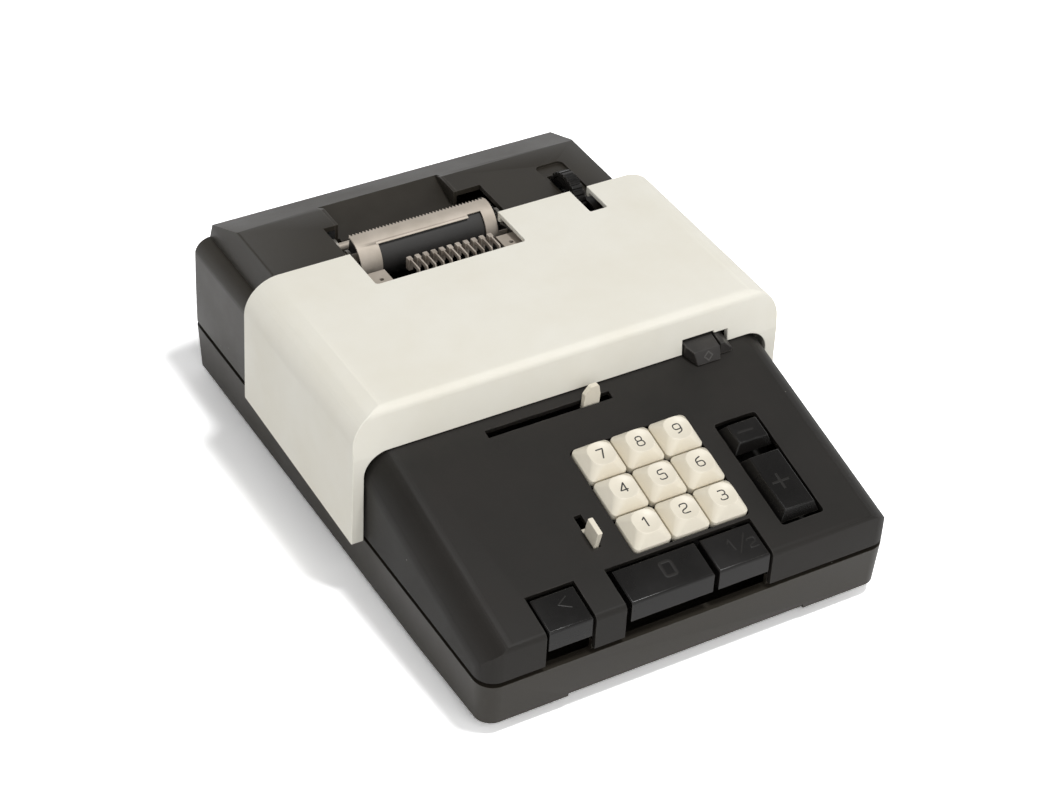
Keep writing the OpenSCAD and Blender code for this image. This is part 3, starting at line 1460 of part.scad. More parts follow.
// Main shaft with the cams that reset the type bars
module main_shaft() {
    color("silver") {
        bar_x(frame_l0 - 4 * shaft_end, gear_x + gear_w + shaft_end, shaft_y, motor_z, main_r);
        for (x = [frame_l0 + 2 * main_r, frame_r0 - 2 * main_r - cam_w]) translate([x, shaft_y, motor_z])
            rotate([90, 0, 90]) linear_extrude(cam_w) union() {
                translate([-cam_throw, 0]) circle(cam_r);
                translate([cam_throw, 0]) circle(cam_r);
            }
    }
}

module accumulator_wheels() {
    color("#b9b3a8") for (i = [0:type_n - 1])
        translate([type_x0 + i * type_pitch - type_t / 2, acc_y, acc_z]) rotate([90, 0, 90]) linear_extrude(type_t)
            difference() {
                gear_outline(20, 2 * acc_r / 22);
                circle(acc_shaft_r + run_clear);
            }
}

module accumulator_shaft() {
    color("silver") bar_x(frame_l0 - shaft_end, frame_r1 + shaft_end, acc_y, acc_z, acc_shaft_r);
}

// Recessed mains socket at the back
module power_inlet() {
    y1 = back_at(inlet_z + inlet_open_h / 2) + 1;
    half = inlet_w / 2;
    tall = inlet_open_h / 2;
    color("#1d1c1b") translate([inlet_x, 0, inlet_z]) difference() {
        along_y(y1 - inlet_d, y1)
            soft_rect([-half - inlet_wall, -tall - inlet_wall], [half + inlet_wall, tall + inlet_wall], 1.5);
        along_y(y1 - inlet_d + inlet_flange, y1 + 1) soft_rect([-half, -tall], [half, tall], 1);
    }
}

module inlet_pins() {
    y1 = back_at(inlet_z + inlet_open_h / 2) + 1;
    color("silver") for (s = [-1, 1])
        translate([inlet_x + s * inlet_w / 4, y1 - inlet_d + inlet_flange, inlet_z])
            rotate([-90, 0, 0]) cylinder(r = inlet_pin_r, h = inlet_d * 0.7);
}

base_pan();
rubber_feet();
base_screws();
front_housing();
rear_housing();
saddle_cover();
paper_table();
key_1();
key_2();
key_3();
key_4();
key_5();
key_6();
key_7();
key_8();
key_9();
zero_key();
half_key();
correction_key();
plus_key();
minus_key();
total_key();
column_pointer();
pin_carriage();
carriage_rails();
rail_brackets();
repeat_lever();
key_plate();
plate_screws();
platen_roller();
platen_shaft();
platen_thumbwheel();
platen_ratchet();
pressure_roller();
tear_bar();
printer_plate();
type_bars();
type_shaft();
frame_left();
frame_right();
tie_rods();
motor();
motor_cradle();
motor_pinion();
drive_gear();
main_shaft();
accumulator_wheels();
accumulator_shaft();
power_inlet();
inlet_pins();
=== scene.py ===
"""Looks of a ten-key printing adding machine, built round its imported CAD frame."""

import json
import math

import bmesh
import bpy
from mathutils import Matrix, Vector


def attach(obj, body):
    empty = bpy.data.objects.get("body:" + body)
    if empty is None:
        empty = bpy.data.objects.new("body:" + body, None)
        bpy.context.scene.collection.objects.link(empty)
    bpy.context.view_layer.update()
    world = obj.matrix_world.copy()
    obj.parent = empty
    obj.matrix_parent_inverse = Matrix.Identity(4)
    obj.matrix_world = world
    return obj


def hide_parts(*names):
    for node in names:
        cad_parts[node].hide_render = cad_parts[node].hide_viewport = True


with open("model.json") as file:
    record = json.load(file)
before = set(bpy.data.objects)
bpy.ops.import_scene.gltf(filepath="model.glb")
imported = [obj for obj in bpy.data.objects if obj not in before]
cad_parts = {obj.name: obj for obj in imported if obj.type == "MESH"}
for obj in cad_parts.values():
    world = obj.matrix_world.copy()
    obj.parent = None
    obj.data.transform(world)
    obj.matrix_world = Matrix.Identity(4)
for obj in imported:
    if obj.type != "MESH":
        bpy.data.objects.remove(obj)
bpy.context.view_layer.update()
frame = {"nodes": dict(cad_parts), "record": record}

MM = 0.001
SHARP_TURN = math.radians(32)
FLAT_TURN = math.radians(0.6)
MERGE_PIECE, MERGE_CAD = 1e-7, 2e-6
BODY_OF = {node: body for body, nodes in frame["record"]["behaviour"]["bodies"].items() for node in nodes}
SLOT_OF = {part["node"]: part["material_slot"] for part in frame["record"]["subparts"]}

# The keyboard deck: x across, y up the slope from the front edge, z out of the surface, in millimetres.
SLOPE = math.radians(14.2)
DECK = (Matrix.Translation((0, -140 * MM, 47 * MM)) @ Matrix.Rotation(SLOPE, 4, "X")
        @ Matrix.Scale(MM, 4))
# Digit keys: spacing, middle of the field on the deck, keytop sizes from the skirt up, rings of the dish.
KEY_PITCH = 19
FIELD_X = 10.7
FIELD_V = 50.2
KEY_W = 18.3
KEY_CORNER = 2.3
KEY_SINK = -2
KEY_LIP = 1.2
KEY_TOP = 6.6
KEY_TOP_R = 6
KEY_TOP_CORNER = 5
KEY_DISH = 0.8
DISH_RINGS = (5.7, 4.7, 3.6, 2.5, 1.4, 0.5)
DISH_BALL = (KEY_TOP_R ** 2 + KEY_DISH ** 2) / (2 * KEY_DISH)


def srgb(code):
    """Linear colour of an sRGB hex value."""
    parts = [int(code[i:i + 2], 16) / 255 for i in (1, 3, 5)]
    return [c / 12.92 if c <= 0.04045 else ((c + 0.055) / 1.055) ** 2.4 for c in parts] + [1.0]


def add(tree, kind, inputs=None, **settings):
    """Adds a shader node. An input given a socket is linked, any other value is set on it."""
    made = tree.nodes.new(kind)
    for name, value in settings.items():
        setattr(made, name, value)
    for name, value in (inputs or {}).items():
        if isinstance(value, bpy.types.NodeSocket):
            tree.links.new(value, made.inputs[name])
        else:
            made.inputs[name].default_value = value
    return made


def per_mm(size):
    """Texture scale for a pattern whose cells are this many millimetres, on coordinates in metres."""
    return 1 / (size * MM)


def new_material(name, **sockets):
    """A material with one Principled shader, its even values set on the shader's own sockets."""
    made = bpy.data.materials.new(name)
    made.use_nodes = True
    tree = made.node_tree
    tree.nodes.clear()
    shader = add(tree, "ShaderNodeBsdfPrincipled", {k.replace("_", " "): v for k, v in sockets.items()})
    add(tree, "ShaderNodeOutputMaterial", {"Surface": shader.outputs[0]})
    place = add(tree, "ShaderNodeTexCoord").outputs["Object"]
    return made, tree, shader, place


def edge_mask(tree, place, radius, start, full, patch):
    """1 on worn edges: where the surface turns within a radius in mm, broken up in patches."""
    turned = add(tree, "ShaderNodeBevel", {"Radius": radius * MM}, samples=6)
    normal = add(tree, "ShaderNodeNewGeometry").outputs["Normal"]
    facing = add(tree, "ShaderNodeVectorMath", {0: turned.outputs[0], 1: normal}, operation="DOT_PRODUCT")
    edge = add(tree, "ShaderNodeMapRange", {"Value": facing.outputs["Value"], "From Min": start,
                                            "From Max": full})
    worn = add(tree, "ShaderNodeTexNoise", {"Vector": place, "Scale": per_mm(patch), "Detail": 4.0})
    some = add(tree, "ShaderNodeMapRange", {"Value": worn.outputs["Fac"], "From Min": 0.42, "From Max": 0.62})
    return add(tree, "ShaderNodeMath", {0: edge.outputs[0], 1: some.outputs[0]}, operation="MULTIPLY").outputs[0]


def moulded(name, body, shade, worn, roughness, grain, grain_depth, wear=0.6, specks=None, gloss=0.5):
    """Moulded plastic: a fine spark-eroded grain, cloudy handling marks, rubbed edges and a few specks."""
    made, tree, shader, place = new_material(name, IOR=1.5, Specular_IOR_Level=gloss)
    cloud = add(tree, "ShaderNodeTexNoise", {"Vector": place, "Scale": per_mm(38), "Detail": 5.0,
                                             "Roughness": 0.6})
    tone = add(tree, "ShaderNodeMapRange", {"Value": cloud.outputs["Fac"], "From Min": 0.35, "From Max": 0.7})
    colour = add(tree, "ShaderNodeMix", {0: tone.outputs[0], 6: srgb(body), 7: srgb(shade)}, data_type="RGBA")
    mask = edge_mask(tree, place, 0.9, 0.97, 0.86, 7)
    share = add(tree, "ShaderNodeMath", {0: mask, 1: wear}, operation="MULTIPLY")
    colour = add(tree, "ShaderNodeMix", {0: share.outputs[0], 6: colour.outputs[2], 7: srgb(worn)},
                 data_type="RGBA")
    if specks:
        cell = add(tree, "ShaderNodeTexVoronoi", {"Vector": place, "Scale": per_mm(9)})
        dot = add(tree, "ShaderNodeMath", {0: cell.outputs["Distance"], 1: 0.024}, operation="LESS_THAN")
        pick = add(tree, "ShaderNodeSeparateColor", {0: cell.outputs["Color"]})
        few = add(tree, "ShaderNodeMath", {0: pick.outputs[0], 1: 0.86}, operation="GREATER_THAN")
        both = add(tree, "ShaderNodeMath", {0: dot.outputs[0], 1: few.outputs[0]}, operation="MULTIPLY")
        colour = add(tree, "ShaderNodeMix", {0: both.outputs[0], 6: colour.outputs[2], 7: srgb(specks)},
                     data_type="RGBA")
    fine = add(tree, "ShaderNodeTexNoise", {"Vector": place, "Scale": per_mm(grain), "Detail": 2.0})
    sheen = add(tree, "ShaderNodeMapRange", {"Value": cloud.outputs["Fac"], "From Min": 0.3, "From Max": 0.75,
                                             "To Min": roughness - 0.06, "To Max": roughness + 0.07})
    bump = add(tree, "ShaderNodeBump", {"Height": fine.outputs["Fac"], "Strength": 0.5,
                                        "Distance": grain_depth * MM})
    tree.links.new(colour.outputs[2], shader.inputs["Base Color"])
    tree.links.new(sheen.outputs[0], shader.inputs["Roughness"])
    tree.links.new(bump.outputs[0], shader.inputs["Normal"])
    return made


def metal(name, body, shade, roughness, stretch, grain=0.25, depth=0.01, metallic=1.0):
    """Bare or plated metal: drawn or brushed along one axis, with dull patches where it was handled."""
    made, tree, shader, place = new_material(name, Metallic=metallic)
    along = add(tree, "ShaderNodeMapping", {"Vector": place, "Scale": stretch})
    brushed = add(tree, "ShaderNodeTexNoise", {"Vector": along.outputs[0], "Scale": per_mm(grain), "Detail": 3.0})
    patch = add(tree, "ShaderNodeTexNoise", {"Vector": place, "Scale": per_mm(9), "Detail": 4.0})
    tone = add(tree, "ShaderNodeMapRange", {"Value": patch.outputs["Fac"], "From Min": 0.35, "From Max": 0.7})
    colour = add(tree, "ShaderNodeMix", {0: tone.outputs[0], 6: srgb(body), 7: srgb(shade)}, data_type="RGBA")
    dull = add(tree, "ShaderNodeMapRange", {"Value": brushed.outputs["Fac"], "To Min": roughness - 0.08,
                                            "To Max": roughness + 0.1})
    bump = add(tree, "ShaderNodeBump", {"Height": brushed.outputs["Fac"], "Strength": 0.35, "Distance": depth * MM})
    tree.links.new(colour.outputs[2], shader.inputs["Base Color"])
    tree.links.new(dull.outputs[0], shader.inputs["Roughness"])
    tree.links.new(bump.outputs[0], shader.inputs["Normal"])
    return made


def ink(name, body, shade, roughness, gloss=0.5):
    """Printed or moulded-in sign: even colour with worn thin places."""
    made, tree, shader, place = new_material(name, IOR=1.5, Specular_IOR_Level=gloss)
    thin = add(tree, "ShaderNodeTexNoise", {"Vector": place, "Scale": per_mm(0.8), "Detail": 4.0})
    tone = add(tree, "ShaderNodeMapRange", {"Value": thin.outputs["Fac"], "From Min": 0.4, "From Max": 0.75})
    colour = add(tree, "ShaderNodeMix", {0: tone.outputs[0], 6: srgb(body), 7: srgb(shade)}, data_type="RGBA")
    dull = add(tree, "ShaderNodeMapRange", {"Value": thin.outputs["Fac"], "To Min": roughness - 0.08,
                                            "To Max": roughness + 0.08})
    tree.links.new(colour.outputs[2], shader.inputs["Base Color"])
    tree.links.new(dull.outputs[0], shader.inputs["Roughness"])
    return made


# Grained ABS of the keyboard housing: warm black, matt, rubbed paler along its edges, a little dust.
DECK_ABS = moulded("grained_black_abs", "#1f1d1a", "#25221f", "#45423e", 0.55, 0.45, 0.05, specks="#b5b1a9",
                   gloss=0.25)
# Grained ABS of the rear housing and base: the same resin, faded greyer by light.
HOUSING_ABS = moulded("faded_black_abs", "#2a2620", "#312d26", "#4e4a44", 0.42, 0.45, 0.05, specks="#a5a199",
                      gloss=0.36)
# Lacquered ivory ABS of the saddle cover: even and satin, with the faintest yellowing.
COVER_ABS = moulded("ivory_lacquered_abs", "#e9e6db", "#e5e1d4", "#dcd6c8", 0.5, 0.7, 0.015, wear=0.35, gloss=0.22)
# Cream urea keytops: dense and warm, slightly waxy, with handling grime in the edges.
KEY_UREA = moulded("cream_urea_keytop", "#e7e0cf", "#e1d9c7", "#d6ccb9", 0.38, 0.5, 0.01, wear=0.4)
# Polished black keytops: smooth moulding with fine scuffs and bright rubbed edges.
KEY_ABS = moulded("polished_black_keytop", "#141312", "#191716", "#4b4843", 0.3, 0.8, 0.012, wear=0.7, gloss=0.34)
# The total key's moulding: rubbed grey over its top and almost bare along its edges.
WORN_ABS = moulded("rubbed_black_keytop", "#232120", "#33302d", "#7d7871", 0.45, 0.8, 0.03, wear=1.0, gloss=0.4)
# Phenolic of the mains socket: brown black and plain.
SOCKET_PHENOLIC = moulded("phenolic_socket", "#1f1d1b", "#292623", "#45413c", 0.45, 0.6, 0.02)
# Vulcanised rubber: dull, with a ground face and pale bloom.
FOOT_RUBBER = moulded("vulcanised_rubber_foot", "#1d1c1b", "#2a2927", "#3c3a37", 0.75, 0.3, 0.06, wear=0.3)
PLATEN_RUBBER = moulded("ground_platen_rubber", "#2a2928", "#393735", "#4a4744", 0.62, 0.3, 0.05, wear=0.3)
# Dull nickel plate on pressed steel: warm grey, almost without mirror, finely drawn along the sheet.
NICKEL = metal("dull_nickel_plate", "#c6bcb0", "#b9afa2", 0.6, (0.06, 1, 1), metallic=0.5)
# Steel inside the openings, coloured near-black to paint in the shade there: nearly as dark as the plastic round
# it.
SHADE_DARK_STEEL = metal("steel_painted_shade_dark", "#2b2a28", "#211f1e", 0.55, (0.1, 1, 1), metallic=0.6)
# Nickelled brass type: pale and warm, dark with old ink in patches.
TYPE_PLATE = metal("nickelled_brass_type", "#d8cec2", "#a1968a", 0.5, (1, 1, 0.2), grain=0.4, metallic=0.5)
# Zinc-plated frame steel: duller and greyer, rolled grain.
ZINC = metal("zinc_plated_steel", "#8f8c86", "#7b7872", 0.5, (1, 0.08, 0.08), grain=0.4)
# Brass of the type and the gears: golden, dulled in patches by age.
BRASS = metal("aged_brass", "#c9b997", "#9a8a6c", 0.42, (1, 1, 0.2), grain=0.4)
# Stove enamel on the motor's casing.
MOTOR_ENAMEL = moulded("motor_enamel", "#57534e", "#605c56", "#807b73", 0.4, 0.6, 0.01)
# Printed digits and the faded signs of the black keys.
DIGIT_INK = ink("digit_ink", "#2c2a27", "#3b3935", 0.5)
FADED_SIGN = ink("faded_key_sign", "#201e1c", "#1a1817", 0.4, gloss=0.3)
RUBBED_SIGN = ink("rubbed_key_sign", "#4a4845", "#3a3836", 0.5)

FINISH = {"deck_black": DECK_ABS, "housing_black": HOUSING_ABS, "cover_ivory": COVER_ABS, "key_cream": KEY_UREA,
          "key_black": KEY_ABS, "inlet_black": SOCKET_PHENOLIC, "foot_rubber": FOOT_RUBBER,
          "platen_rubber": PLATEN_RUBBER, "plated_steel": NICKEL, "frame_steel": ZINC, "type_brass": BRASS,
          "motor_paint": MOTOR_ENAMEL}
# The key plate and the platen ratchet take the steel painted dark for the shade in the openings; the total key
# takes its rubbed moulding.
OWN_FINISH = {"key_plate": SHADE_DARK_STEEL, "platen_ratchet": SHADE_DARK_STEEL, "total_key": WORN_ABS}


def finish_piece(bm, name, body, material, merge=True):
    """Turns a bmesh whose place is in its vertices into a piece that rides on a body."""
    if merge:
        bmesh.ops.remove_doubles(bm, verts=bm.verts, dist=MERGE_PIECE)
    mesh = bpy.data.meshes.new(name)
    bm.to_mesh(mesh)
    bm.free()
    mesh.materials.append(material)
    mesh.shade_smooth()
    mesh.set_sharp_from_angle(angle=SHARP_TURN)
    piece = bpy.data.objects.new(name, mesh)
    bpy.context.scene.collection.objects.link(piece)
    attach(piece, body)
    return piece


def round_edges(piece, width, segments, limit):
    """Rounds the edges that turn by more than a limit in degrees, by a width in mm."""
    bevel = piece.modifiers.new("rounded_edges", "BEVEL")
    bevel.width = width * MM
    bevel.segments = segments
    bevel.limit_method = "ANGLE"
    bevel.angle_limit = math.radians(limit)
    bevel.use_clamp_overlap = True
    bevel.harden_normals = True


def block(bm, size, centre, place=Matrix.Scale(MM, 4)):
    """Adds a box of a size in mm round a centre, brought to its place by a matrix."""
    made = bmesh.ops.create_cube(bm, size=1)["verts"]
    bmesh.ops.scale(bm, vec=size, verts=made)
    bmesh.ops.translate(bm, vec=centre, verts=made)
    bmesh.ops.transform(bm, matrix=place, verts=made)


def cad_copy(node):
    """A CAD node's mesh with its triangles merged into whole faces."""
    bm = bmesh.new()
    bm.from_mesh(frame["nodes"][node].data)
    bmesh.ops.remove_doubles(bm, verts=bm.verts, dist=MERGE_CAD)
    bmesh.ops.dissolve_limit(bm, angle_limit=FLAT_TURN, verts=bm.verts, edges=bm.edges)
    return bm


def cut_off(bm, point, normal):
    """Takes away what lies past a plane and closes the cut."""
    cut = bmesh.ops.bisect_plane(bm, geom=bm.verts[:] + bm.edges[:] + bm.faces[:], dist=MERGE_PIECE,
                                 plane_co=point, plane_no=normal, clear_outer=True)["geom_cut"]
    bmesh.ops.holes_fill(bm, edges=[part for part in cut if isinstance(part, bmesh.types.BMEdge)], sides=0)


def softened(node, width, segments=2, limit=30):
    """A copy of a CAD node with its triangles merged and its sharp edges rounded by a width in mm."""
    bm = cad_copy(node)
    material = OWN_FINISH.get(node, FINISH[SLOT_OF[node]])
    piece = finish_piece(bm, node + "_soft", BODY_OF[node], material, merge=False)
    round_edges(piece, width, segments, limit)
    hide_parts(node)
    return piece


def rounded_path(points, radius, closed=False):
    """Points of a path whose corners are eased by a radius."""
    path = [Vector(p) for p in points]
    eased = []
    count = len(path)
    for i, corner in enumerate(path):
        if not closed and i in (0, count - 1):
            eased.append(corner)
            continue
        before, after = path[i - 1] - corner, path[(i + 1) % count] - corner
        start = corner + before.normalized() * min(radius, before.length / 2)
        end = corner + after.normalized() * min(radius, after.length / 2)
        for k in range(7):
            t = k / 6
            eased.append(start * (1 - t) ** 2 + corner * 2 * t * (1 - t) + end * t ** 2)
    return eased


def sign(name, strokes, width, place, body, material, sag=None):
    """A flat sign of rounded strokes: (points, closed) pairs in mm, swept and laid on a surface by a matrix."""
    curve = bpy.data.curves.new(name, "CURVE")
    curve.dimensions = "3D"
    curve.bevel_depth = width / 2
    curve.bevel_resolution = 2
    curve.use_fill_caps = True
    for points, radius, closed in strokes:
        spline = curve.splines.new("POLY")
        path = rounded_path(points, radius, closed)
        spline.points.add(len(path) - 1)
        for at, point in zip(spline.points, path):
            at.co = (point.x, point.y, 0, 1)
        spline.use_cyclic_u = closed
    holder = bpy.data.objects.new(name + "_path", curve)
    bpy.context.scene.collection.objects.link(holder)
    bpy.context.view_layer.update()
    bm = bmesh.new()
    bm.from_mesh(bpy.data.meshes.new_from_object(holder.evaluated_get(bpy.context.evaluated_depsgraph_get())))
    bpy.data.objects.remove(holder)
    for vert in bm.verts:
        vert.co.z = vert.co.z / width * SIGN_RELIEF + (sag(vert.co.x, vert.co.y) if sag else 0)
    bmesh.ops.transform(bm, matrix=place, verts=bm.verts)
    bmesh.ops.recalc_face_normals(bm, faces=bm.faces)
    return finish_piece(bm, name, body, material)


SIGN_RELIEF = 0.08
DIGIT_STROKE = 0.62
BOWL = 0.42
DIGITS = {
    1: [([(-0.3, 0.4), (0.06, 0.75), (0.06, -0.75)], 0.02, False)],
    2: [([(-0.45, 0.36), (-0.45, 0.75), (0.45, 0.75), (0.45, 0.08), (-0.45, -0.22), (-0.45, -0.75),
          (0.47, -0.75)], BOWL, False)],
    3: [([(-0.42, 0.75), (0.42, 0.75), (0.42, 0.04), (-0.12, 0.04)], BOWL, False),
        ([(-0.12, 0.04), (0.46, 0.04), (0.46, -0.75), (-0.46, -0.75), (-0.46, -0.4)], BOWL, False)],
    4: [([(0.24, -0.75), (0.24, 0.75), (-0.5, -0.36), (0.5, -0.36)], 0.04, False)],
    5: [([(0.42, 0.75), (-0.36, 0.75), (-0.42, 0.08), (0.45, 0.16), (0.45, -0.75), (-0.46, -0.75),
          (-0.46, -0.45)], 0.34, False)],
    6: [([(0.3, 0.75), (-0.46, 0.5), (-0.46, -0.75), (0.46, -0.75), (0.46, 0.1), (-0.46, 0.1),
          (-0.46, -0.3)], BOWL, False)],
    7: [([(-0.46, 0.75), (0.46, 0.75), (-0.06, -0.75)], 0.05, False)],
    8: [([(-0.38, 0.06), (0.38, 0.06), (0.38, 0.75), (-0.38, 0.75)], 0.36, True),
        ([(-0.46, -0.75), (0.46, -0.75), (0.46, 0.06), (-0.46, 0.06)], BOWL, True)],
    9: [([(-0.3, -0.75), (0.46, -0.5), (0.46, 0.75), (-0.46, 0.75), (-0.46, -0.1), (0.46, -0.1),
          (0.46, 0.3)], BOWL, False)],
}
DIGIT_SCALE = 3.25
DIGIT_WIDE = 1.12


def scaled(strokes, size):
    """Strokes drawn on a unit grid, brought to millimetres."""
    return [([(x * size * DIGIT_WIDE, y * size) for x, y in points], radius * size, closed)
            for points, radius, closed in strokes]


def dish_sag(x, y):
    """Height of a digit key's dished top, less the height of its rim."""
    return DISH_BALL - KEY_DISH - math.sqrt(DISH_BALL ** 2 - x * x - y * y)


def rounded_square(bm, half, corner, z):
    """Outline of a square with round corners, as a loop of edges at one height."""
    made = bmesh.ops.create_grid(bm, x_segments=1, y_segments=1, size=half)
    rounded = bmesh.ops.bevel(bm, geom=made["verts"], offset=corner, offset_type="OFFSET", affect="VERTICES",
                              segments=8, profile=0.5, material=-1)
    face = next(f for v in rounded["verts"] for f in v.link_faces)
    bmesh.ops.translate(bm, vec=(0, 0, z), verts=face.verts)
    edges = list(face.edges)
    bmesh.ops.delete(bm, geom=[face], context="FACES_ONLY")
    return edges


def key_cap():
    """Digit keytop in mm: an upright skirt and four flat flanks, drawn in to a round dish."""
    bm = bmesh.new()
    loops = [rounded_square(bm, KEY_W / 2, KEY_CORNER, KEY_SINK),
             rounded_square(bm, KEY_W / 2, KEY_CORNER, KEY_LIP),
             rounded_square(bm, KEY_TOP_R, KEY_TOP_CORNER, KEY_TOP)]
    for radius in DISH_RINGS:
        ring = bmesh.ops.create_circle(bm, segments=len(loops[0]), radius=radius)["verts"]
        bmesh.ops.translate(bm, vec=(0, 0, KEY_TOP + dish_sag(radius, 0)), verts=ring)
        loops.append(list({edge for vert in ring for edge in vert.link_edges}))
    for lower, upper in zip(loops, loops[1:]):
        bmesh.ops.bridge_loops(bm, edges=lower + upper)
    bmesh.ops.contextual_create(bm, geom=loops[0])
    bmesh.ops.contextual_create(bm, geom=loops[-1])
    bmesh.ops.recalc_face_normals(bm, faces=bm.faces)
    shape = bpy.data.meshes.new("keytop")
    bm.to_mesh(shape)
    bm.free()
    return shape


KEYTOP = key_cap()
STEM_R, STEM_END = 2.4, -20


def dished_key(value, place):
    """One digit key: the shared keytop with rounded edges, on its round stem."""
    bm = bmesh.new()
    bm.from_mesh(KEYTOP)
    stem = bmesh.ops.create_cone(bm, cap_ends=True, segments=24, radius1=STEM_R, radius2=STEM_R,
                                 depth=KEY_SINK + 0.5 - STEM_END)
    bmesh.ops.translate(bm, vec=(0, 0, (KEY_SINK + 0.5 + STEM_END) / 2), verts=stem["verts"])
    bmesh.ops.transform(bm, matrix=place, verts=bm.verts)
    piece = finish_piece(bm, f"keytop_{value}", f"key_{value}", KEY_UREA, merge=False)
    round_edges(piece, 0.6, 3, 25)
    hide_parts(f"key_{value}")


for value, strokes in DIGITS.items():
    column, row = (value - 1) % 3 - 1, (value - 1) // 3 - 1
    place = DECK @ Matrix.Translation((FIELD_X + column * KEY_PITCH, FIELD_V + row * KEY_PITCH, 0))
    dished_key(value, place)
    sign(f"digit_{value}", scaled(strokes, DIGIT_SCALE), DIGIT_STROKE, place @ Matrix.Translation((0, 0, KEY_TOP)),
         f"key_{value}", DIGIT_INK, dish_sag)

# Signs of the black keys: centre on the deck, height over it, strokes in mm, stroke width.
KEY_SIGNS = [
    ("zero_key", (-8.2, 10.4, 0), [([(-2.6, -3.5), (2.6, -3.5), (2.6, 3.5), (-2.6, 3.5)], 1.2, True)], 1.5),
    ("half_key", (28.2, 9.8, 0), [([(-6.8, 1.6), (-5.2, 3.9), (-4.4, -2.2)], 0.1, False),
                                  ([(-3.5, -4.4), (2.9, 4.4)], 0.1, False),
                                  ([(2.4, 0.2), (2.4, 1.2), (6, 1.2), (6, -0.9), (2.4, -2.2), (2.4, -3.4),
                                    (6.2, -3.4)], 0.7, False)], 0.7),
    ("correction_key", (-57.5, 11.6, 0), [([(2.4, 2.9), (-2.6, 0), (2.4, -2.9)], 0.1, False)], 0.6),
    ("plus_key", (58.8, 29.8, 3.5), [([(-4.2, 0), (4.2, 0)], 0.1, False),
                                     ([(0, -4.2), (0, 4.2)], 0.1, False)], 1.2),
    ("minus_key", (58.6, 59, 3.5), [([(-4, 0), (4, 0)], 0.1, False)], 1.2),
]
for node, centre, strokes, width in KEY_SIGNS:
    sign(node + "_sign", strokes, width, DECK @ Matrix.Translation(centre), BODY_OF[node], FADED_SIGN)

# The total key's diamond lies on its raked front face, which starts this far up the deck.
TOTAL_FACE_V, TOTAL_LIFT, TOTAL_RAKE, TOTAL_H = 99.2, 0.5, 3.4, 6.2
TOTAL_SIGN_X, TOTAL_SIGN_UP = 65.2, 0.52
rake = math.atan2(TOTAL_H - TOTAL_LIFT, TOTAL_RAKE)
on_face = (DECK @ Matrix.Translation((TOTAL_SIGN_X, TOTAL_FACE_V + TOTAL_RAKE * TOTAL_SIGN_UP,
                                      TOTAL_LIFT + (TOTAL_H - TOTAL_LIFT) * TOTAL_SIGN_UP))
           @ Matrix.Rotation(rake, 4, "X"))
sign("total_key_sign", [([(-2.1, 0), (0, -2.1), (2.1, 0), (0, 2.1)], 0.1, True)], 0.75, on_face,
     BODY_OF["total_key"], RUBBED_SIGN)

# Sill set back in the shallow step under the front edge of the base.
SILL_SIZE, SILL_AT = (116.8, 12.6, 2.9), (0, -131.4, 8)
bm = bmesh.new()
block(bm, SILL_SIZE, SILL_AT)
sill = finish_piece(bm, "base_sill", "machine", HOUSING_ABS)
round_edges(sill, 0.3, 2, 30)

# Repeat lever: a plain upright plate on the slide that the CAD has under the deck.
LEVER_SIZE, LEVER_AT, LEVER_CUT = (2.4, 8.9, 11.6), (-31.05, 35.45, 3.3), -2
bm = cad_copy("repeat_lever")
cut_off(bm, DECK @ Vector((0, 0, LEVER_CUT)), DECK.to_3x3() @ Vector((0, 0, 1)))
block(bm, LEVER_SIZE, LEVER_AT, DECK)
lever = finish_piece(bm, "repeat_lever_plate", "repeat_lever", KEY_UREA, merge=False)
round_edges(lever, 0.5, 3, 30)
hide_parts("repeat_lever")

# Column pointer: the CAD's blade, drawn in from its right side.
POINTER_LEFT, POINTER_SLIM = 0.6, 0.86
bm = cad_copy("column_pointer")
bmesh.ops.scale(bm, vec=(POINTER_SLIM, 1, 1), space=Matrix.Translation((-POINTER_LEFT * MM, 0, 0)), verts=bm.verts)
pointer = finish_piece(bm, "column_pointer_blade", "column_carriage", KEY_UREA, merge=False)
round_edges(pointer, 0.4, 3, 30)
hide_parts("column_pointer")

# Tear bar: the CAD's sheet with a coarse saw edge at the back.
TEAR_Y, TEAR_Z, TEAR_T, TEAR_LEFT = 80.9, 96, 0.6, -48.7
TEETH, TOOTH_W, TOOTH_H, TOOTH_SINK = 41, 1.7, 1.7, 0.2
bm = cad_copy("tear_bar")
cut_off(bm, (0, TEAR_Y * MM, 0), (0, 1, 0))
for k in range(TEETH):
    tooth = bmesh.ops.create_cone(bm, cap_ends=True, segments=3, radius1=1, radius2=1, depth=TEAR_T)["verts"]
    bmesh.ops.scale(bm, vec=(TOOTH_W / math.sqrt(3), TOOTH_H / 1.5, 1), verts=tooth)
    at = (TEAR_LEFT + (k + 0.5) * TOOTH_W, TEAR_Y - TOOTH_SINK + TOOTH_H / 3, TEAR_Z)
    bmesh.ops.transform(bm, matrix=Matrix.Scale(MM, 4) @ Matrix.Translation(at), verts=tooth)
saw = finish_piece(bm, "tear_bar_saw", "machine", NICKEL, merge=False)
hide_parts("tear_bar")

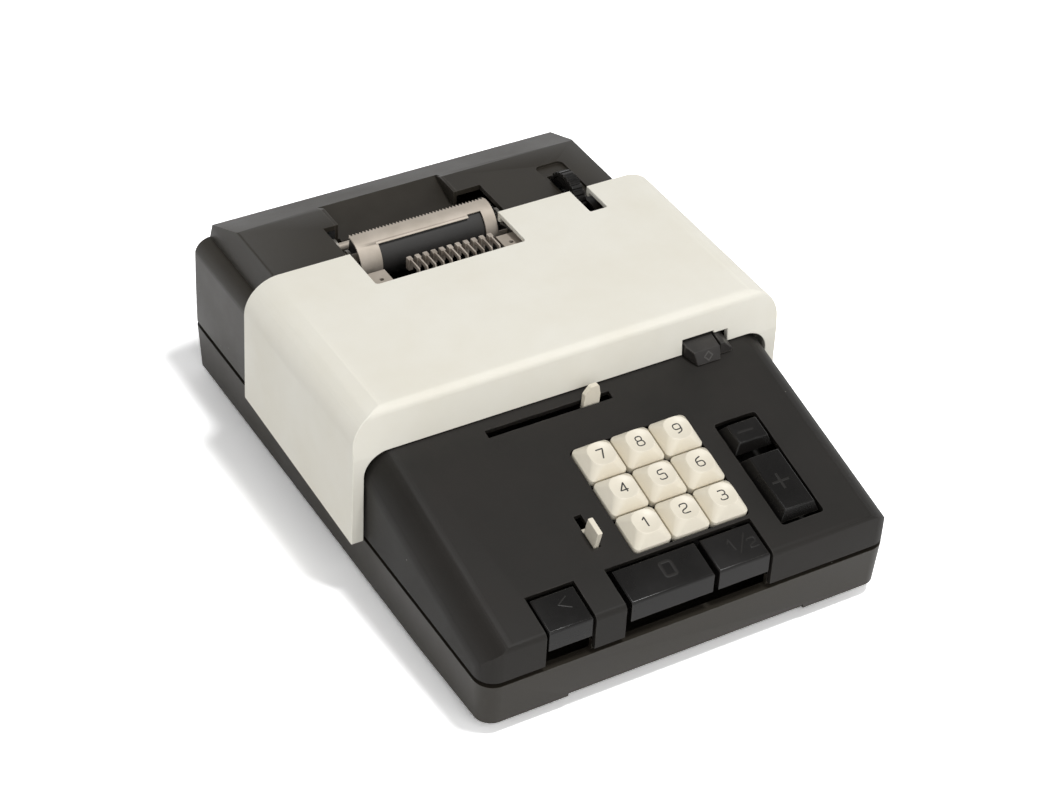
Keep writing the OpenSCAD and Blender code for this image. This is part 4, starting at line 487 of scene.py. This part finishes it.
# Type bars: thin blades that carry a full-width slug at the platen.
BAR_X, BAR_PITCH, BARS, BAR_T, BLADE_T = -28.5, 4.1, 11, 2.2, 0.8
SLUG_SIZE, SLUG_Y, SLUG_Z = (2.3, 2.8, 5.8), 60.6, 88.5
bm = cad_copy("type_bars")
for k in range(BARS):
    x = BAR_X + k * BAR_PITCH
    blade = [vert for vert in bm.verts if abs(vert.co.x - x * MM) < BAR_PITCH * MM / 2]
    bmesh.ops.scale(bm, vec=(BLADE_T / BAR_T, 1, 1), space=Matrix.Translation((-x * MM, 0, 0)), verts=blade)
    block(bm, SLUG_SIZE, (x, SLUG_Y, SLUG_Z))
bars = finish_piece(bm, "type_slugs", "type_bars", TYPE_PLATE, merge=False)
round_edges(bars, 0.15, 2, 30)
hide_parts("type_bars")

for node, finish in SLOT_OF.items():
    data = frame["nodes"][node].data
    data.materials.clear()
    data.materials.append(OWN_FINISH.get(node, FINISH[finish]))

SOFT_EDGES = {"front_housing": 0.5, "rear_housing": 0.5, "base_pan": 0.5, "saddle_cover": 0.6, "paper_table": 0.3,
              "zero_key": 0.5, "half_key": 0.5, "correction_key": 0.5, "plus_key": 0.5, "minus_key": 0.5,
              "total_key": 0.35, "platen_thumbwheel": 0.2,
              "printer_plate": 0.15, "power_inlet": 0.3, "rubber_feet": 0.5}
for node, width in SOFT_EDGES.items():
    softened(node, width, segments=3)

# Pale floor that shows white to the camera and keeps the shadow, and soft studio light.
bm = bmesh.new()
bmesh.ops.create_grid(bm, x_segments=1, y_segments=1, size=4)
ground = bpy.data.meshes.new("floor")
bm.to_mesh(ground)
bm.free()
floor = bpy.data.objects.new("floor", ground)
bpy.context.scene.collection.objects.link(floor)
made, tree, shader, place = new_material("pale_floor", Roughness=0.9)
ray = add(tree, "ShaderNodeLightPath").outputs
mirrored = add(tree, "ShaderNodeMix", {0: ray["Is Glossy Ray"], 6: (0.92, 0.92, 0.92, 1), 7: (1.15, 1.15, 1.15, 1)},
               data_type="RGBA")
pale = add(tree, "ShaderNodeMix", {0: ray["Is Camera Ray"], 6: mirrored.outputs[2], 7: (1.95, 1.95, 1.95, 1)},
           data_type="RGBA")
tree.links.new(pale.outputs[2], shader.inputs["Base Color"])
shader.inputs["Specular IOR Level"].default_value = 0
ground.materials.append(made)

world = bpy.data.worlds.new("studio")
bpy.context.scene.world = world
world.use_nodes = True
tree = world.node_tree
tree.nodes.clear()
toward = add(tree, "ShaderNodeSeparateXYZ", {0: add(tree, "ShaderNodeTexCoord").outputs["Generated"]})
# Bright round the horizon and dim overhead, as in a white room with a dark ceiling.
room = add(tree, "ShaderNodeMapRange", {"Value": toward.outputs["Z"], "From Max": 0.92,
                                        "To Min": 1.2, "To Max": 0.05})
sky = add(tree, "ShaderNodeBackground", {"Color": (1, 1, 1, 1), "Strength": room.outputs[0]})
add(tree, "ShaderNodeOutputWorld", {"Surface": sky.outputs[0]})


def lamp(name, at, aim, size, power):
    """A square soft lamp that points at a place."""
    data = bpy.data.lights.new(name, "AREA")
    data.size = size
    data.energy = power
    made = bpy.data.objects.new(name, data)
    bpy.context.scene.collection.objects.link(made)
    made.location = at
    made.rotation_mode = "QUATERNION"
    made.rotation_quaternion = (Vector(aim) - Vector(at)).to_track_quat("-Z", "Y")


lamp("key_lamp", (0.35, -0.5, 2.3), (0, 0, 0.05), 0.35, 28)
lamp("front_lamp", (-0.2, -1.6, 1.3), (0, 0, 0.05), 1.2, 9)

# Camera solved from the photograph: its place and its three axes.
TURN, LIFT, ROLL = -0.552, 0.6685, 0.0531
FOCAL_PX, IMAGE_W = 2686.85, 1044
CAMERA_AT = (-0.4970, -0.8022, 0.7850)
back = Vector((math.sin(TURN) * math.cos(LIFT), -math.cos(TURN) * math.cos(LIFT), math.sin(LIFT)))
level = Vector((math.cos(TURN), math.sin(TURN), 0))
upright = back.cross(level)
right = level * math.cos(ROLL) + upright * math.sin(ROLL)
up = upright * math.cos(ROLL) - level * math.sin(ROLL)
lens = bpy.data.cameras.new("camera")
lens.sensor_width = 36
lens.lens = FOCAL_PX / IMAGE_W * lens.sensor_width
camera = bpy.data.objects.new("camera", lens)
bpy.context.scene.collection.objects.link(camera)
axes = Matrix((right, up, back)).transposed().to_4x4()
camera.matrix_world = Matrix.Translation(CAMERA_AT) @ axes
bpy.context.scene.camera = camera
bpy.context.scene.view_settings.view_transform = "Standard"

bpy.context.view_layer.update()
